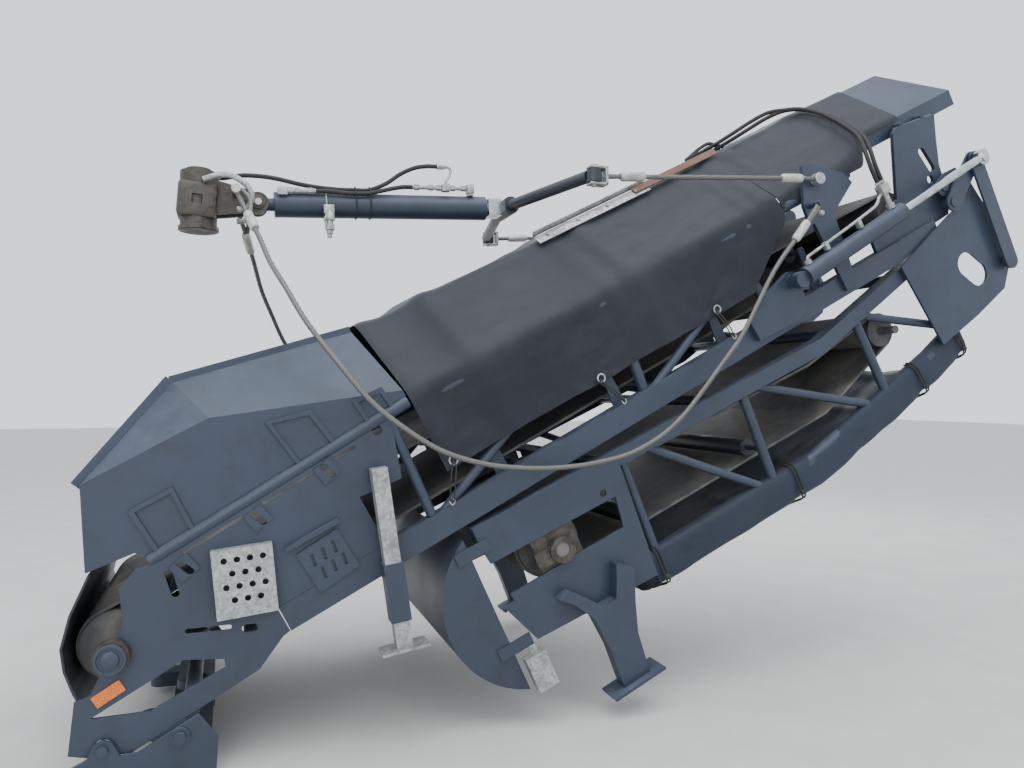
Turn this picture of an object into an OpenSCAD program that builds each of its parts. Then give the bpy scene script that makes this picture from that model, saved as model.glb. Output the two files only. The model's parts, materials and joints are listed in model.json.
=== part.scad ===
// Folding discharge conveyor of a cold planer, folded under itself for travel.
// The origin is on the vertical slew axis, at the middle of the king pin bore.
// +X runs forward along the conveyor, +Z is up, and -Y is the near side.

/* [Angles] */
// Slope of the long straight rails
inner_angle = 27.5; // [22:0.5:30]
// Slope of the receiving tail, a little steeper than the rails
tail_angle = 31.2; // [29:0.1:34]
// Slope of the folded outer section at its drive end
outer_angle = 24.7; // [23:0.1:26]
// Slope of the folded outer section next to the fold
root_angle = 36.2; // [34:0.1:38]

/* [Widths] */
// Outer face of the side frames, from the middle plane
frame_half = 650; // [600:10:700]
// Depth of the side frames inward
frame_depth = 65; // [50:5:80]
// Width of the belts
belt_w = 1000; // [800:20:1060]
// Thickness of the belts
belt_t = 12; // [8:1:16]

/* [Inner section] */
// Length of the rails from the kink to their forward end
rail_len = 2575; // [2400:5:2640]
// Height of the rails
rail_h = 100; // [80:5:110]
// Wall of the rails and side plates
plate_t = 10; // [6:1:12]
// Height of the tail's top tube above the tail line
top_tube_w = 469; // [450:1:490]
// Diameter of the tail's top tube
top_tube_d = 50; // [40:2:60]
// Diameter of the posts
post_d = 46; // [42:2:50]
// Diameter of the slanted braces
brace_d = 40; // [34:2:44]
// Diameter of the upper tube over the rails
upper_tube_d = 54; // [52:2:60]
// Radius of the tail drum
tail_drum_r = 120; // [100:5:130]
// Radius of the head roller
head_roller_r = 80; // [60:5:90]

/* [Cover] */
// Height of the cover's lower hem above the rail line
hem_w = 140; // [120:5:160]
// Height of the shoulder where the cover's sides turn in
shoulder_w = 480; // [440:5:520]
// Height of the cover's ridge
ridge_w = 805; // [760:5:820]
// How far the cover's sides stand in from the side frames
cover_inset = 5; // [0:1:12]
// Half width of the cover at its ridge
ridge_half = 300; // [240:10:360]
// Thickness of the cover's tarpaulin
cover_t = 8; // [5:1:12]

/* [Fold] */
// Forward reach of the crank pin along the rails
crank_u = 2696; // [2690:1:2710]
// Height of the crank pin above the rail line
crank_w = 55; // [50:1:60]
// Height of the fold pin above the crank pin
fold_over_crank = 90; // [85:1:95]
// Distance of the outer chord below the crank pin
chord_drop = 130; // [128:1:140]
// Diameter of the fold pins
fold_pin_d = 50; // [40:2:56]
// Diameter of the fold cylinder barrels
fold_barrel_d = 84; // [76:2:90]
// Diameter of the fold cylinder rods
fold_rod_d = 40; // [34:2:44]
// Gap between moving plates
plate_gap = 7; // [5:1:8]

/* [Outer section] */
// Size of the square chord tube
chord_s = 70; // [60:2:74]
// Diameter of the round upper rail
pipe_d = 62; // [54:2:66]
// Distance from the chord to the round rail
truss_h = 475; // [460:5:485]
// Radius of the drive drum
drive_drum_r = 140; // [120:5:145]
// Radius of the root roller
root_roller_r = 80; // [60:5:85]

/* [Lift] */
// Diameter of the lift cylinder barrel
lift_barrel_d = 112; // [100:2:120]
// Diameter of the lift cylinder rod
lift_rod_d = 60; // [50:2:66]
// Diameter of the stay ropes
stay_d = 22; // [16:1:26]
// Diameter of the safety ropes
rope_d = 22; // [16:1:26]

/* [Mounts] */
// Radius of the king pin bore
king_r = 40; // [36:1:44]
// Radius of the slew cylinder bores
slew_r = 20; // [16:1:24]

/* [Hidden] */
$fn = 48;
cut = 1;

paint = [0.28, 0.33, 0.41];
dark_paint = [0.2, 0.22, 0.26];
tarp_grey = [0.24, 0.24, 0.26];
rubber_black = [0.12, 0.12, 0.13];
galvanised = [0.66, 0.68, 0.68];
chrome_rod = [0.8, 0.82, 0.84];
cast_dark = [0.24, 0.23, 0.22];
reflector_orange = [0.95, 0.5, 0.1];

// The kink between the tail and the rails, in X and Z
kink = [1191, 919];
rail_w = -35;
post_y = frame_half - 40;
cover_half = frame_half - cover_inset;
frame_in = frame_half - frame_depth;
sides = [-1, 1];

// Layers outward of the frames, each a plate with its gap
layer_t = 12;
root_y = frame_half + plate_gap + layer_t / 2;
crank_y = root_y + layer_t + plate_gap + 3;
coupler_y = crank_y + layer_t + plate_gap + 1;
rod_y = coupler_y + layer_t / 2 + plate_gap + 20;

// Places of the fold, in X and Z
function turn(p, a) = [p.x * cos(a) - p.y * sin(a), p.x * sin(a) + p.y * cos(a)];
function inner_xz(p) = kink + turn(p, inner_angle);
function tail_xz(p) = kink + turn(p, tail_angle);
crank_xz = inner_xz([crank_u, crank_w]);
fold_xz = inner_xz([crank_u, crank_w + fold_over_crank]);
// The coupler's two pins and the fold cylinder's base pin, from the crank pin
rod_pin = [128, 225];
coupler_pin = [375, -275];
base_pin = [-993, -449];
// The bend of the outer section, behind the fold
root_run = 1085;
root_drop = chord_drop + fold_over_crank;

// Luff pin, gantry pin and the lift linkage, in X and Z
luff_xz = [-29, 60];
lift_eye = [242, 2082];
lift_end = [1312, 2150];
spreader_xz = [1400, 2155];
stay_start = [1574, 2150];
stay_end = [2702, 2247];
stay_y = 700;

module inner() translate([kink.x, 0, kink.y]) rotate([0, -inner_angle, 0]) children();
module tail() translate([kink.x, 0, kink.y]) rotate([0, -tail_angle, 0]) children();
module root() translate([fold_xz.x, 0, fold_xz.y]) rotate([0, -root_angle, 0]) children();
module outer() root() translate([-root_run, 0, -root_drop]) rotate([0, root_angle - outer_angle, 0]) children();

// A plate drawn in X and Z, with its middle at y
module plate(y, t) translate([0, y + t / 2, 0]) rotate([90, 0, 0]) linear_extrude(t) children();
// A round bar across the conveyor, with its middle at y
module cross_bar(x, z, y, len, d) translate([x, y + len / 2, z]) rotate([90, 0, 0]) cylinder(h = len, d = d);
module bar(p, q, d) {
  v = q - p;
  translate(p) rotate([0, acos(v.z / norm(v)), atan2(v.y, v.x)]) cylinder(h = norm(v), d = d);
}
module both_sides() { children(); mirror([0, 1, 0]) children(); }
module mirror_far(far) mirror([0, far ? 1 : 0, 0]) children();

// Belt round two rollers, drawn in X and Z; c and r are each roller's middle and radius
function pair_tangent(c1, r1, c2, r2, s) =
  let (d = c2 - c1, a = atan2(d.y, d.x) + s * acos((r1 - r2) / norm(d)))
  [c1 + r1 * [cos(a), sin(a)], c2 + r2 * [cos(a), sin(a)]];
function toward(c, r, p, s) = let (d = p - c) atan2(d.y, d.x) + s * acos(r / norm(d));
function arc(c, r, from, to) = [for (i = [0 : 24]) let (a = from + (to - from) * i / 24) c + r * [cos(a), sin(a)]];
module wrap(c1, r1, c2, r2) {
  d = c2 - c1;
  a = atan2(d.y, d.x);
  b = acos((r1 - r2) / norm(d));
  polygon(concat(arc(c1, r1, a + b, a + 360 - b), arc(c2, r2, a - b, a + b)));
}
module bent_wrap(c1, r1, c2, r2, high, low)
  polygon(concat([high], arc(c1, r1, toward(c1, r1, high, 1), toward(c1, r1, low, -1) + 360), [low],
    arc(c2, r2, toward(c2, r2, low, 1), toward(c2, r2, high, -1))));

tail_drum_uw = turn([-1519, 264], tail_angle - inner_angle);
head_roller_uw = [2480, 150];

// The yoke under the tail, with an arm outside each side plate
yoke_y = frame_half + plate_gap;
arm_t = 14;
lock_xz = tail_xz([-1700, 13]);
arm_outline = [[-373, -1], [-373, -30], [-340, -72], [90, -72], [95, 40], [43, 113], [30, 129], [-161, 26],
  [-215, 22], [-238, 68], [-268, 84], [-298, 70], [-318, 24]];
module slew_yoke() color(paint) difference() {
  union() {
    translate([0, 0, -90]) cylinder(h = 130, r = king_r + 35);
    translate([-80, -yoke_y, -60]) cube([150, 2 * yoke_y, 60]);
    for (s = sides) {
      translate([-150, s * 250, -60]) cylinder(h = 60, r = slew_r + 28);
      translate([-150, s * 250 - 48, -60]) cube([90, 96, 60]);
    }
  }
  translate([0, 0, -90 - cut]) cylinder(h = 130 + 2 * cut, r = king_r);
  for (s = sides) translate([-150, s * 250, -60 - cut]) cylinder(h = 60 + 2 * cut, r = slew_r);
}
module yoke_arms() color(paint) for (s = sides) {
  plate(s * (yoke_y + arm_t / 2), arm_t) polygon(arm_outline);
  cross_bar(luff_xz.x, luff_xz.y, s * (frame_half + 9), 62, 40);
  cross_bar(luff_xz.x, luff_xz.y, s * (yoke_y + arm_t + 3), 10, 68);
  cross_bar(lock_xz.x, lock_xz.y, s * (frame_half + 12), 44, 36);
}

module gantry_knuckle() color(cast_dark) difference() {
  union() {
    translate([0, 0, 1960]) cylinder(h = 240, r = 75);
    for (s = sides) plate(s * 40, 20) {
      translate(lift_eye) circle(45);
      polygon([[40, 2010], [225, 2038], [225, 2126], [40, 2170]]);
    }
    for (s = sides) cross_bar(150, 2105, s * 81.5, 73, 28);
  }
  translate([0, 0, 1960 - cut]) cylinder(h = 240 + 2 * cut, r = 38);
  cross_bar(lift_eye.x, lift_eye.y, 0, 120, 36.4);
}

lift_angle = atan2(lift_end.y - lift_eye.y, lift_end.x - lift_eye.x);
lift_len = norm(lift_end - lift_eye);
module lift_line() translate([lift_eye.x, 0, lift_eye.y]) rotate([0, -lift_angle, 0]) children();

module lift_barrel() color(paint) lift_line() {
  cross_bar(0, 0, 0, 110, 36);
  difference() {
    union() {
      cross_bar(0, 0, 0, 50, 84);
      translate([20, 0, 0]) rotate([0, 90, 0]) cylinder(h = 60, d = 56);
      translate([70, 0, 0]) rotate([0, 90, 0]) cylinder(h = lift_len - 90, d = lift_barrel_d);
    }
    translate([120, 0, 0]) rotate([0, 90, 0]) cylinder(h = lift_len, d = lift_rod_d + 1);
  }
}

// The rod ends in a block against a flat on the spreader
flat_u = norm(spreader_xz - lift_eye) - 32;
module lift_rod() color(chrome_rod) lift_line() {
  translate([135, 0, 0]) rotate([0, 90, 0]) cylinder(h = lift_len - 125, d = lift_rod_d);
  translate([lift_len - 10, -45, -40]) cube([flat_u - lift_len + 9.7, 90, 80]);
}

module spreader_beam() color(dark_paint) difference() {
  union() {
    cross_bar(spreader_xz.x, spreader_xz.y, 0, 180, 84);
    for (s = sides) {
      bar([spreader_xz.x, s * 80, spreader_xz.y], [stay_start.x - 46, s * (stay_y - 14), stay_start.y], 52);
      translate([stay_start.x - 30, s * stay_y, stay_start.y - 28]) cylinder(h = 56, d = 64);
    }
  }
  lift_line() translate([lift_len - 60, -100, -100]) cube([flat_u - lift_len + 60, 200, 200]);
  for (s = sides) translate([stay_start.x - 30, s * stay_y, stay_start.y - 60]) cylinder(h = 120, d = 24);
}

// Each stay has a clevis on the spreader's arm and an eye that bears on the rope anchor's outer face
anchor_out = frame_half + 20.3;
module stay_ropes() color(galvanised) for (s = sides) {
  bar([stay_start.x + 20, s * stay_y, stay_start.y + 2], [stay_end.x - 24, s * stay_y, stay_end.y - 2], stay_d);
  cross_bar(stay_end.x, stay_end.y, s * (anchor_out + 0.3 + stay_y + 16) / 2, stay_y + 15.7 - anchor_out, 56);
  for (h = [-1, 1]) translate([stay_start.x - 56, s * stay_y - 26, stay_start.y + h * 34.3 - 6]) cube([82, 52, 12]);
  translate([stay_start.x + 12, s * stay_y - 26, stay_start.y - 40.3]) cube([14, 52, 80.6]);
  translate([stay_start.x - 30, s * stay_y, stay_start.y - 46]) cylinder(h = 92, d = 23);
}

// Side plate of the tail, in the tail's own line
tail_outline = [[-1796, 58], [-1744, 5], [-1639, -57], [-1162, -72], [-1036, -20], [-1007, -18], [-1001, 81],
  [-575, 53], [-552, 111], [-546, 259], [-375, 232], [-290, 452], [-1240, 452], [-1310, 472], [-1385, 446],
  [-1440, 330], [-1640, 190], [-1690, 200]];
tail_window = [[-1680, 122], [-1347, 113], [-1240, 35], [-1250, 6], [-1522, 27]];
luff_lug = [[-1575, -60], [-1530, -137], [-1446, -137], [-1395, -70]];
// Slits under the top tube, as start and end along the tail
tube_slits = [[-1160, -930], [-850, -640], [-555, -460]];
stake_pockets = [[-1178, 388], [-887, 398], [-596, 410]];
// Each U-shaped holder above the tube: rear foot, front foot, front head, rear head
holders = [[[-1223, 494], [-1090, 494], [-1075, 643], [-1221, 650]],
  [[-665, 494], [-520, 494], [-536, 629], [-682, 673]],
  [[-372, 494], [-262, 494], [-268, 565], [-375, 575]]];
luff_uw = turn(luff_xz - kink, -tail_angle);
drum_uw = [-1519, 264];

// A rounded slot from p to q, and a flat bar from p to q
module slot(p, q, r) {
  a = atan2(q.y - p.y, q.x - p.x);
  polygon(concat(arc(p, r, a + 90, a + 270), arc(q, r, a - 90, a + 90)));
}
module flat_bar(p, q, t, h) {
  v = q - p;
  translate(p) rotate([0, -atan2(v.z, norm([v.x, v.y])), atan2(v.y, v.x)]) translate([0, -t / 2, -h / 2])
    cube([norm(v), t, h]);
}

module tail_frame(far) color(paint) mirror_far(far) tail() {
  plate(-frame_half + plate_t / 2, plate_t) difference() {
    union() {
      polygon(tail_outline);
      polygon(luff_lug);
      translate(luff_uw) circle(54);
    }
    polygon(tail_window);
    translate(luff_uw) circle(d = 40.4);
    translate([-1700, 13]) circle(30);
    translate([-1700, 13]) rotate(-tail_angle) translate([-30, -150]) square([60, 150]);
    translate(drum_uw) circle(60);
    slot([-1232, 400], [-1250, 326], 13);
    for (p = tube_slits) translate([p[0], 425]) square([p[1] - p[0], 12]);
    for (p = stake_pockets) slot(p + [-6, 22], p + [8, -22], 13);
    slot([-1285, 190], [-1235, 160], 9);
    slot([-1218, 150], [-1168, 120], 9);
    slot([-1125, 82], [-1100, 68], 14);
    translate([-361, 440]) circle(20);
  }
  for (p = stake_pockets) plate(-frame_half - 4, 8) difference() {
    translate(p) rotate(8) square([74, 70], center = true);
    slot(p + [-6, 22], p + [8, -22], 13);
  }
  bar([-1262, -frame_half + 20, top_tube_w], [-200, -frame_half + 20, top_tube_w], top_tube_d);
  translate([-347, -frame_half + 22, 39.5]) rotate([0, 6.9, 0]) cylinder(h = 433, d = brace_d);
  for (h = holders) plate(-frame_half + 8, 8) difference() {
    polygon([h[0] + [-8, -8], h[3] + [-8, 8], h[2] + [8, 8], h[1] + [8, -8]]);
    polygon([h[0] + [8, -20], h[3] + [8, -8], h[2] + [-8, -8], h[1] + [-8, -20]]);
  }
}
module tail_frame_near() tail_frame(false);
module tail_frame_far() tail_frame(true);

module tail_bearings() color(cast_dark) tail() both_sides() difference() {
  union() {
    cross_bar(drum_uw.x, drum_uw.y, -frame_half - 17.3, 34, 116);
    cross_bar(drum_uw.x, drum_uw.y, -frame_half - 38, 16, 78);
  }
  cross_bar(drum_uw.x, drum_uw.y, -frame_half, 70, 50.4);
}

module tail_drum() color(rubber_black) tail() {
  cross_bar(drum_uw.x, drum_uw.y, 0, belt_w + 40, 2 * tail_drum_r);
  cross_bar(drum_uw.x, drum_uw.y, 0, 2 * frame_half + 60, 50);
}

guard_outline = [[-1440, 541], [-1557, 457], [-1637, 376], [-1668, 305], [-1684, 223], [-1690, 150]];
module tail_guard() color(dark_paint) tail() plate(0, 2 * frame_half - 20.6) difference() {
  polygon(concat(guard_outline, [[-1600, 150], [-1450, 300]]));
  polygon(concat([for (p = guard_outline) p + 8 * unit([-1400, 200] - p)], [[-1590, 140], [-1440, 290]]));
  polygon([[-1440, 560], [-1450, 280], [-1640, 140], [-1400, 140], [-1400, 560]]);
}

// Side wall, rear wall, the leaning panels and the flat rim of the hopper
hopper_side = [[-1306, 814], [-846, 795], [-195, 518], [-195, 494.5], [-1262, 494.5], [-1285, 520], [-1446, 549]];
hopper_y = frame_half - 18;
rim_corner = [-890, -450, 966];
module hopper_half() {
  plate(-hopper_y, 8) polygon(hopper_side);
  hull() for (p = [[-1304, -hopper_y, 810], [-846, -hopper_y, 791], rim_corner])
    translate(p) cube([3, 8, 8], center = true);
  hull() for (p = [[-848, -hopper_y, 791], [-197, -hopper_y, 514], rim_corner, [-197, -300, 800]])
    translate(p) cube([3, 8, 8], center = true);
  flat_bar([-1318, 7 - hopper_y, 812], rim_corner + [0, 0, 14], 8, 50);
  flat_bar(rim_corner + [-4, 0, 14], [-196, -300, 812], 8, 36);
}
module feed_hopper() color(paint) tail() {
  both_sides() hopper_half();
  plate(0, 2 * hopper_y - 8) polygon([[-1306, 814], [-1446, 549], [-1438, 545], [-1298, 810]]);
}

// Posts between rail and upper tube as foot and head, braces as foot and head in U and W
upper_tube_y = cover_half - cover_t - upper_tube_d / 2 - 0.4;
upper_tube_w = 430;
rail_posts = [[719, 757], [1500, 1420]];
rail_braces = [[-340, -16, 752, 415], [741, -16, 1445, 282]];
// The rails run from the tail plates to the fold
function rail_low(u) = rail_w - rail_h / 2 + max(0, (u - 2250) * 0.108);
module inner_rail(far) color(paint) mirror_far(far) inner() {
  difference() {
    plate(-frame_half + frame_depth / 2, frame_depth) polygon([[-1000, rail_low(0)], [2250, rail_low(0)],
      [rail_len, rail_low(rail_len)], [rail_len, rail_w + rail_h / 2], [-1000, rail_w + rail_h / 2]]);
    translate([-1000 - cut, -frame_half + 8, rail_w - rail_h / 2 + 8]) cube([3201, frame_depth, rail_h - 16]);
  }
}
module inner_rail_near() inner_rail(false);
module inner_rail_far() inner_rail(true);

// The upper tube, and the posts and braces that stand on the rail
module upper_frame(far) color(paint) mirror_far(far) inner() difference() {
  union() {
    bar([-180, -upper_tube_y, upper_tube_w], [2200, -upper_tube_y, upper_tube_w], upper_tube_d);
    for (p = rail_posts) bar([p[0], -post_y, rail_w], [p[1], -post_y, upper_tube_w], post_d);
    for (p = rail_braces) bar([p[0], -post_y, p[1]], [p[2], -post_y, p[3]], brace_d);
  }
  translate([-600, -frame_half, rail_w - rail_h]) cube([rail_len, frame_depth + 20, 1.5 * rail_h]);
}
module upper_frame_near() upper_frame(false);
module upper_frame_far() upper_frame(true);

module inner_cross_members() color(paint) {
  inner() for (u = [-650, 100, 900, 1700]) cross_bar(u, rail_w, 0, 2 * frame_half - 16.6, 60);
  tail() for (p = [[-1390, -15], [-1130, 30]]) cross_bar(p[0], p[1], 0, 2 * frame_half - 20.6, 56);
}

// Hoops under the main cover, with their feet on the upper tubes
hoop_foot = (upper_tube_d / 2 + 0.3) * unit([290 - upper_tube_y, 770 - upper_tube_w]);
module cover_hoops() color(paint) inner() for (u = [100, 900, 1700]) {
  for (s = sides) {
    bar([u, s * (upper_tube_y + hoop_foot.x), upper_tube_w + hoop_foot.y], [u, s * 290, 770], 30);
    translate([u, s * 290, 770]) sphere(d = 36);
  }
  cross_bar(u, 770, 0, 580, 30);
}

belt_top = pair_tangent(tail_drum_uw, tail_drum_r, head_roller_uw, head_roller_r, 1);
function belt_w_at(u) = belt_top[0].y + (belt_top[1].y - belt_top[0].y) * (u - belt_top[0].x) /
  (belt_top[1].x - belt_top[0].x);
idler_u = [0, 600, 1200, 1800];
bracket_t = 9;
bracket_y = frame_in - 1.5;
module idler(u, axle) {
  w = belt_w_at(u) - 40.5;
  cross_bar(u, w, 0, belt_w, 80);
  cross_bar(u, w, 0, axle, 24);
}
module inner_idlers() color(dark_paint) inner() {
  idler(-600, 2 * (frame_half - plate_t - 0.3));
  for (u = idler_u) idler(u, 2 * bracket_y - bracket_t - 0.6);
}
// Brackets that stand on the rails and hold the idlers' axles between them
module idler_brackets() color(paint) inner() both_sides() for (u = idler_u) {
  w = belt_w_at(u) - 20.5;
  plate(-bracket_y, bracket_t) polygon([[u - 30, 15.3], [u + 30, 15.3], [u + 15, w], [u - 15, w]]);
}

module inner_belt() color(rubber_black) inner() plate(0, belt_w) difference() {
  wrap(tail_drum_uw, tail_drum_r + belt_t, head_roller_uw, head_roller_r + belt_t);
  wrap(tail_drum_uw, tail_drum_r + 0.8, head_roller_uw, head_roller_r + 0.8);
}

module head_roller() color(rubber_black) inner() {
  cross_bar(head_roller_uw.x, head_roller_uw.y, 0, belt_w + 20, 2 * head_roller_r);
  cross_bar(head_roller_uw.x, head_roller_uw.y, 0, 2 * (frame_half - 40.3), 50);
}

head_plate = [[2180, 15.5], [2180, 130], [2420, 200], [2550, 500], [2590, 520], [2850, 488], [2800, 360],
  [2762, 250], [2745, 60], [2700, 0], [2576, -5], [2576, 15.5]];
module head_frame() color(paint) inner() both_sides() {
  plate(-frame_half + 30, 20) difference() {
    polygon(head_plate);
    slot([2682, 350], [2705, 255], 22);
    translate([2672, 205]) circle(22);
  }
  bar([2584, 50 - frame_half, 505], [2850, 50 - frame_half, 484], 32);
  cross_bar(crank_u, crank_w + fold_over_crank, 2 - frame_half, 56, fold_pin_d);
  cross_bar(crank_u, crank_w, -frame_half - 8.5, 77, fold_pin_d);
  for (u = [2640, 2790]) cross_bar(u, 520 - (u - 2640) * 0.08, 58 - frame_half, 43.4, 24);
}

module roof(half, low, shoulder, ridge, ridge_half) polygon([[-half, low], [-half, shoulder],
  [-ridge_half, ridge], [ridge_half, ridge], [half, shoulder], [half, low]]);
// A roof shell from u1 to u2 along the rails
module roof_shell(u1, u2, half, low, shoulder, ridge, ridge_half, t)
  translate([u2, 0, 0]) rotate([0, -90, 0]) rotate([0, 0, -90]) linear_extrude(u2 - u1) difference() {
    roof(half, low, shoulder, ridge, ridge_half);
    roof(half - t, low - cut, shoulder - t * 0.4, ridge - t, ridge_half - t * 0.4);
  }

module main_cover() color(tarp_grey) inner()
  roof_shell(-220, 1745, cover_half, hem_w, shoulder_w, ridge_w, ridge_half, cover_t);
module head_cover() color(tarp_grey) inner()
  roof_shell(1750, 2330, cover_half, shoulder_w - 50, shoulder_w, ridge_w, ridge_half, cover_t);

// The deflector's roof slopes down at its nose
deflector_half = frame_half - 80;
module head_deflector() color(paint) inner() {
  intersection() {
    roof_shell(2335, 3080, deflector_half, 480, 560, ridge_w - 10, ridge_half, 6);
    plate(0, 1200) polygon([[2335, 480], [2335, 900], [2885, 900], [3080, 560], [3080, 480]]);
  }
}

rope_stud = [1868, 385];
module rope_anchors() color(paint) inner() both_sides() {
  cross_bar(rope_stud.x, rope_stud.y, -frame_half - 57, 88, 26);
  rope_plate();
}
module rope_plate() plate(-frame_half - 10.3, 20) difference() {
  union() {
    polygon([[1837, 300], [1841, 397], [1920, 568], [1972, 558], [2128, 449], [2157, 387], [1990, 300]]);
    polygon([[1890, -60], [1960, -60], [1990, 310], [1860, 310]]);
  }
  translate([1953, 480]) circle(16);
}

fold_axis = rod_pin - base_pin;
fold_cyl_angle = atan2(fold_axis.y, fold_axis.x);
fold_cyl_len = norm(fold_axis);
base_uw = turn(crank_xz + base_pin - kink, -inner_angle);
module fold_line() translate([crank_xz.x + base_pin.x, -rod_y, crank_xz.y + base_pin.y])
  rotate([0, -fold_cyl_angle, 0]) children();

module fold_brackets() color(paint) inner() both_sides() {
  plate(-frame_half - 15.3, 30) {
    polygon([[1325, -48], [1567, -60], [1635, -30], [1650, 90], [1590, 158], [1450, 120], [1312, 44]]);
    translate(base_uw) circle(46);
  }
  cross_bar(base_uw.x, base_uw.y, -(frame_half + rod_y + 35) / 2, rod_y - frame_half + 5, 40);
  cross_bar(base_uw.x, base_uw.y, -frame_half - 35, 10, 66);
}

module fold_barrels() color(paint) both_sides() fold_line() difference() {
  union() {
    cross_bar(0, 0, 0, 40, 76);
    translate([30, 0, 0]) rotate([0, 90, 0]) cylinder(h = 670, d = fold_barrel_d);
  }
  cross_bar(0, 0, 0, 60, 40.4);
  translate([60, 0, 0]) rotate([0, 90, 0]) cylinder(h = 700, d = fold_rod_d + 0.6);
}

// The rod's eye carries its own pin; it stands off the crank
module fold_rods() color(chrome_rod) both_sides() fold_line() {
  translate([560, 0, 0]) rotate([0, 90, 0]) cylinder(h = fold_cyl_len - 560, d = fold_rod_d);
  cross_bar(fold_cyl_len, 0, 0, 30, 80);
  cross_bar(fold_cyl_len, 0, -10, 30, 44);
}

module fold_cranks() color(paint) both_sides() {
  difference() {
    plate(-crank_y, layer_t) slot(crank_xz, crank_xz + rod_pin, 45);
    cross_bar(crank_xz.x, crank_xz.y, -crank_y, 40, fold_pin_d + 0.4);
  }
  cross_bar(crank_xz.x + rod_pin.x, crank_xz.y + rod_pin.y, -(crank_y + coupler_y + 2) / 2,
    coupler_y - crank_y + layer_t + 2, 36);
}
// The coupler's lower eye carries its own pin, short of the root plate
module fold_couplers() color(paint) both_sides() {
  difference() {
    plate(-coupler_y, layer_t) slot(crank_xz + rod_pin, crank_xz + coupler_pin, 42);
    cross_bar(crank_xz.x + rod_pin.x, crank_xz.y + rod_pin.y, -coupler_y, 40, 36.4);
  }
  cross_bar(crank_xz.x + coupler_pin.x, crank_xz.y + coupler_pin.y, -coupler_y + 12, 34, 56);
}

// Bend of the outer section, halved by a plane between its two lines
bend = root_angle - outer_angle;
module rear_side() plate(0, 2000) polygon([[-3000, 300], [-300 * tan(bend / 2), 300], [993 * tan(bend / 2), -993],
  [-3000, -993]]);
module front_side() plate(0, 2000) polygon([[3000, 300], [300 * tan(bend / 2), 300], [-993 * tan(bend / 2), -993],
  [3000, -993]]);
module root_line() root() translate([-root_run, 0, -root_drop]) children();

truss_y = frame_half - 40;
module outer_truss(far) color(paint) mirror_far(far) {
  y = -truss_y;
  outer() {
    translate([-1900, y - chord_s / 2, -chord_s / 2]) cube([1903, chord_s, chord_s]);
    bar([-1240, y, -truss_h], [-283, y, -truss_h], pipe_d);
    for (p = [[-1175, -1190], [-490, -500]]) bar([p[0], y, -20], [p[1], y, -truss_h], post_d);
    for (p = [[-1050, -556, -truss_h], [-417, 190, -400]]) bar([p[0], y, -20], [p[1], y, p[2]], brace_d);
  }
  root_line() {
    translate([-4, y - chord_s / 2, -chord_s / 2]) cube([root_run - 196, chord_s, chord_s]);
    bar([-372, y, -409], [527, y, -440], pipe_d);
    bar([-396, y, -411], [-348, y, -407], pipe_d + 7);
    bar([503, y, -440.2], [551, y, -438.8], pipe_d + 7);
    bar([527, y, -440], [865, y, -418], pipe_d);
    bar([255, y, -20], [205, y, -430], post_d);
    bar([287, y, -20], [775, y, -424], brace_d);
  }
}
module outer_truss_near() outer_truss(false);
module outer_truss_far() outer_truss(true);

root_outline = [[-20, 42], [40, 55], [120, 40], [165, -60], [185, -250], [172, -520], [150, -560], [44, -645],
  [-200, -652], [-480, -640], [-480, -175], [-250, -150], [-90, -135], [38, -128], [34, -60], [10, -44]];
module root_plates() color(paint) root() both_sides() {
  plate(-root_y, layer_t) difference() {
    union() {
      circle(48);
      polygon(root_outline);
    }
    circle(d = fold_pin_d + 0.4);
    slot([-70, -480], [-105, -400], 62);
  }
  plate(-frame_half - 1.15, 11.7) polygon([[-475, -253], [-475, -187], [-215, -187], [-215, -253]]);
}

module outer_cross_members() color(paint) {
  outer() for (u = [-1250, -620]) cross_bar(u, 0, 0, 2 * (truss_y - chord_s / 2) - 0.6, 50);
  root_line() for (u = [100, 585]) cross_bar(u, 0, 0, 2 * (truss_y - chord_s / 2) - 0.6, 50);
}

module outer_rollers() color(dark_paint) outer() for (u = [-1184, -495]) {
  cross_bar(u, -304, 0, belt_w, 80);
  cross_bar(u, -304, 0, 2 * (truss_y - post_d / 2) - 0.6, 24);
}

drive_uw = [-1594, -219];
root_roller_uw = turn([root_run - 640, -210], bend);
module outer_belt() color(rubber_black) outer() plate(0, belt_w) difference() {
  bent_wrap(drive_uw, drive_drum_r + belt_t, root_roller_uw, root_roller_r + belt_t, [0, -90], [0, -360]);
  bent_wrap(drive_uw, drive_drum_r + 0.8, root_roller_uw, root_roller_r + 0.8, [0, -90 - belt_t], [0, -360 + belt_t]);
}
module root_roller() color(rubber_black) outer() {
  cross_bar(root_roller_uw.x, root_roller_uw.y, 0, belt_w + 20, 2 * root_roller_r);
  cross_bar(root_roller_uw.x, root_roller_uw.y, 0, 2 * truss_y, 40);
}

module drive_plates() color(paint) outer() both_sides() plate(-frame_half - 0.3, plate_t) difference() {
  polygon([[-1898, 35], [-1898, -53], [-1860, -312], [-1909, -318], [-1837, -504], [-1240, -540], [-1208, -67],
    [-1208, 35]]);
  polygon([[-1890, -129], [-1281, -139], [-1301, -275], [-1872, -279]]);
  translate([-1327, -100]) circle(16);
}

module take_up_bearings() color(cast_dark) outer() both_sides() difference() {
  union() {
    cross_bar(drive_uw.x, drive_uw.y, -frame_half, 60, 110);
    translate([drive_uw.x - 120, -frame_half - 16, drive_uw.y - 35]) cube([120, 32, 70]);
    translate([drive_uw.x - 110, -frame_half + 5, drive_uw.y - 92]) cube([200, 12, 188]);
  }
  cross_bar(drive_uw.x, drive_uw.y, -frame_half, 80, 60.4);
}

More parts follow.
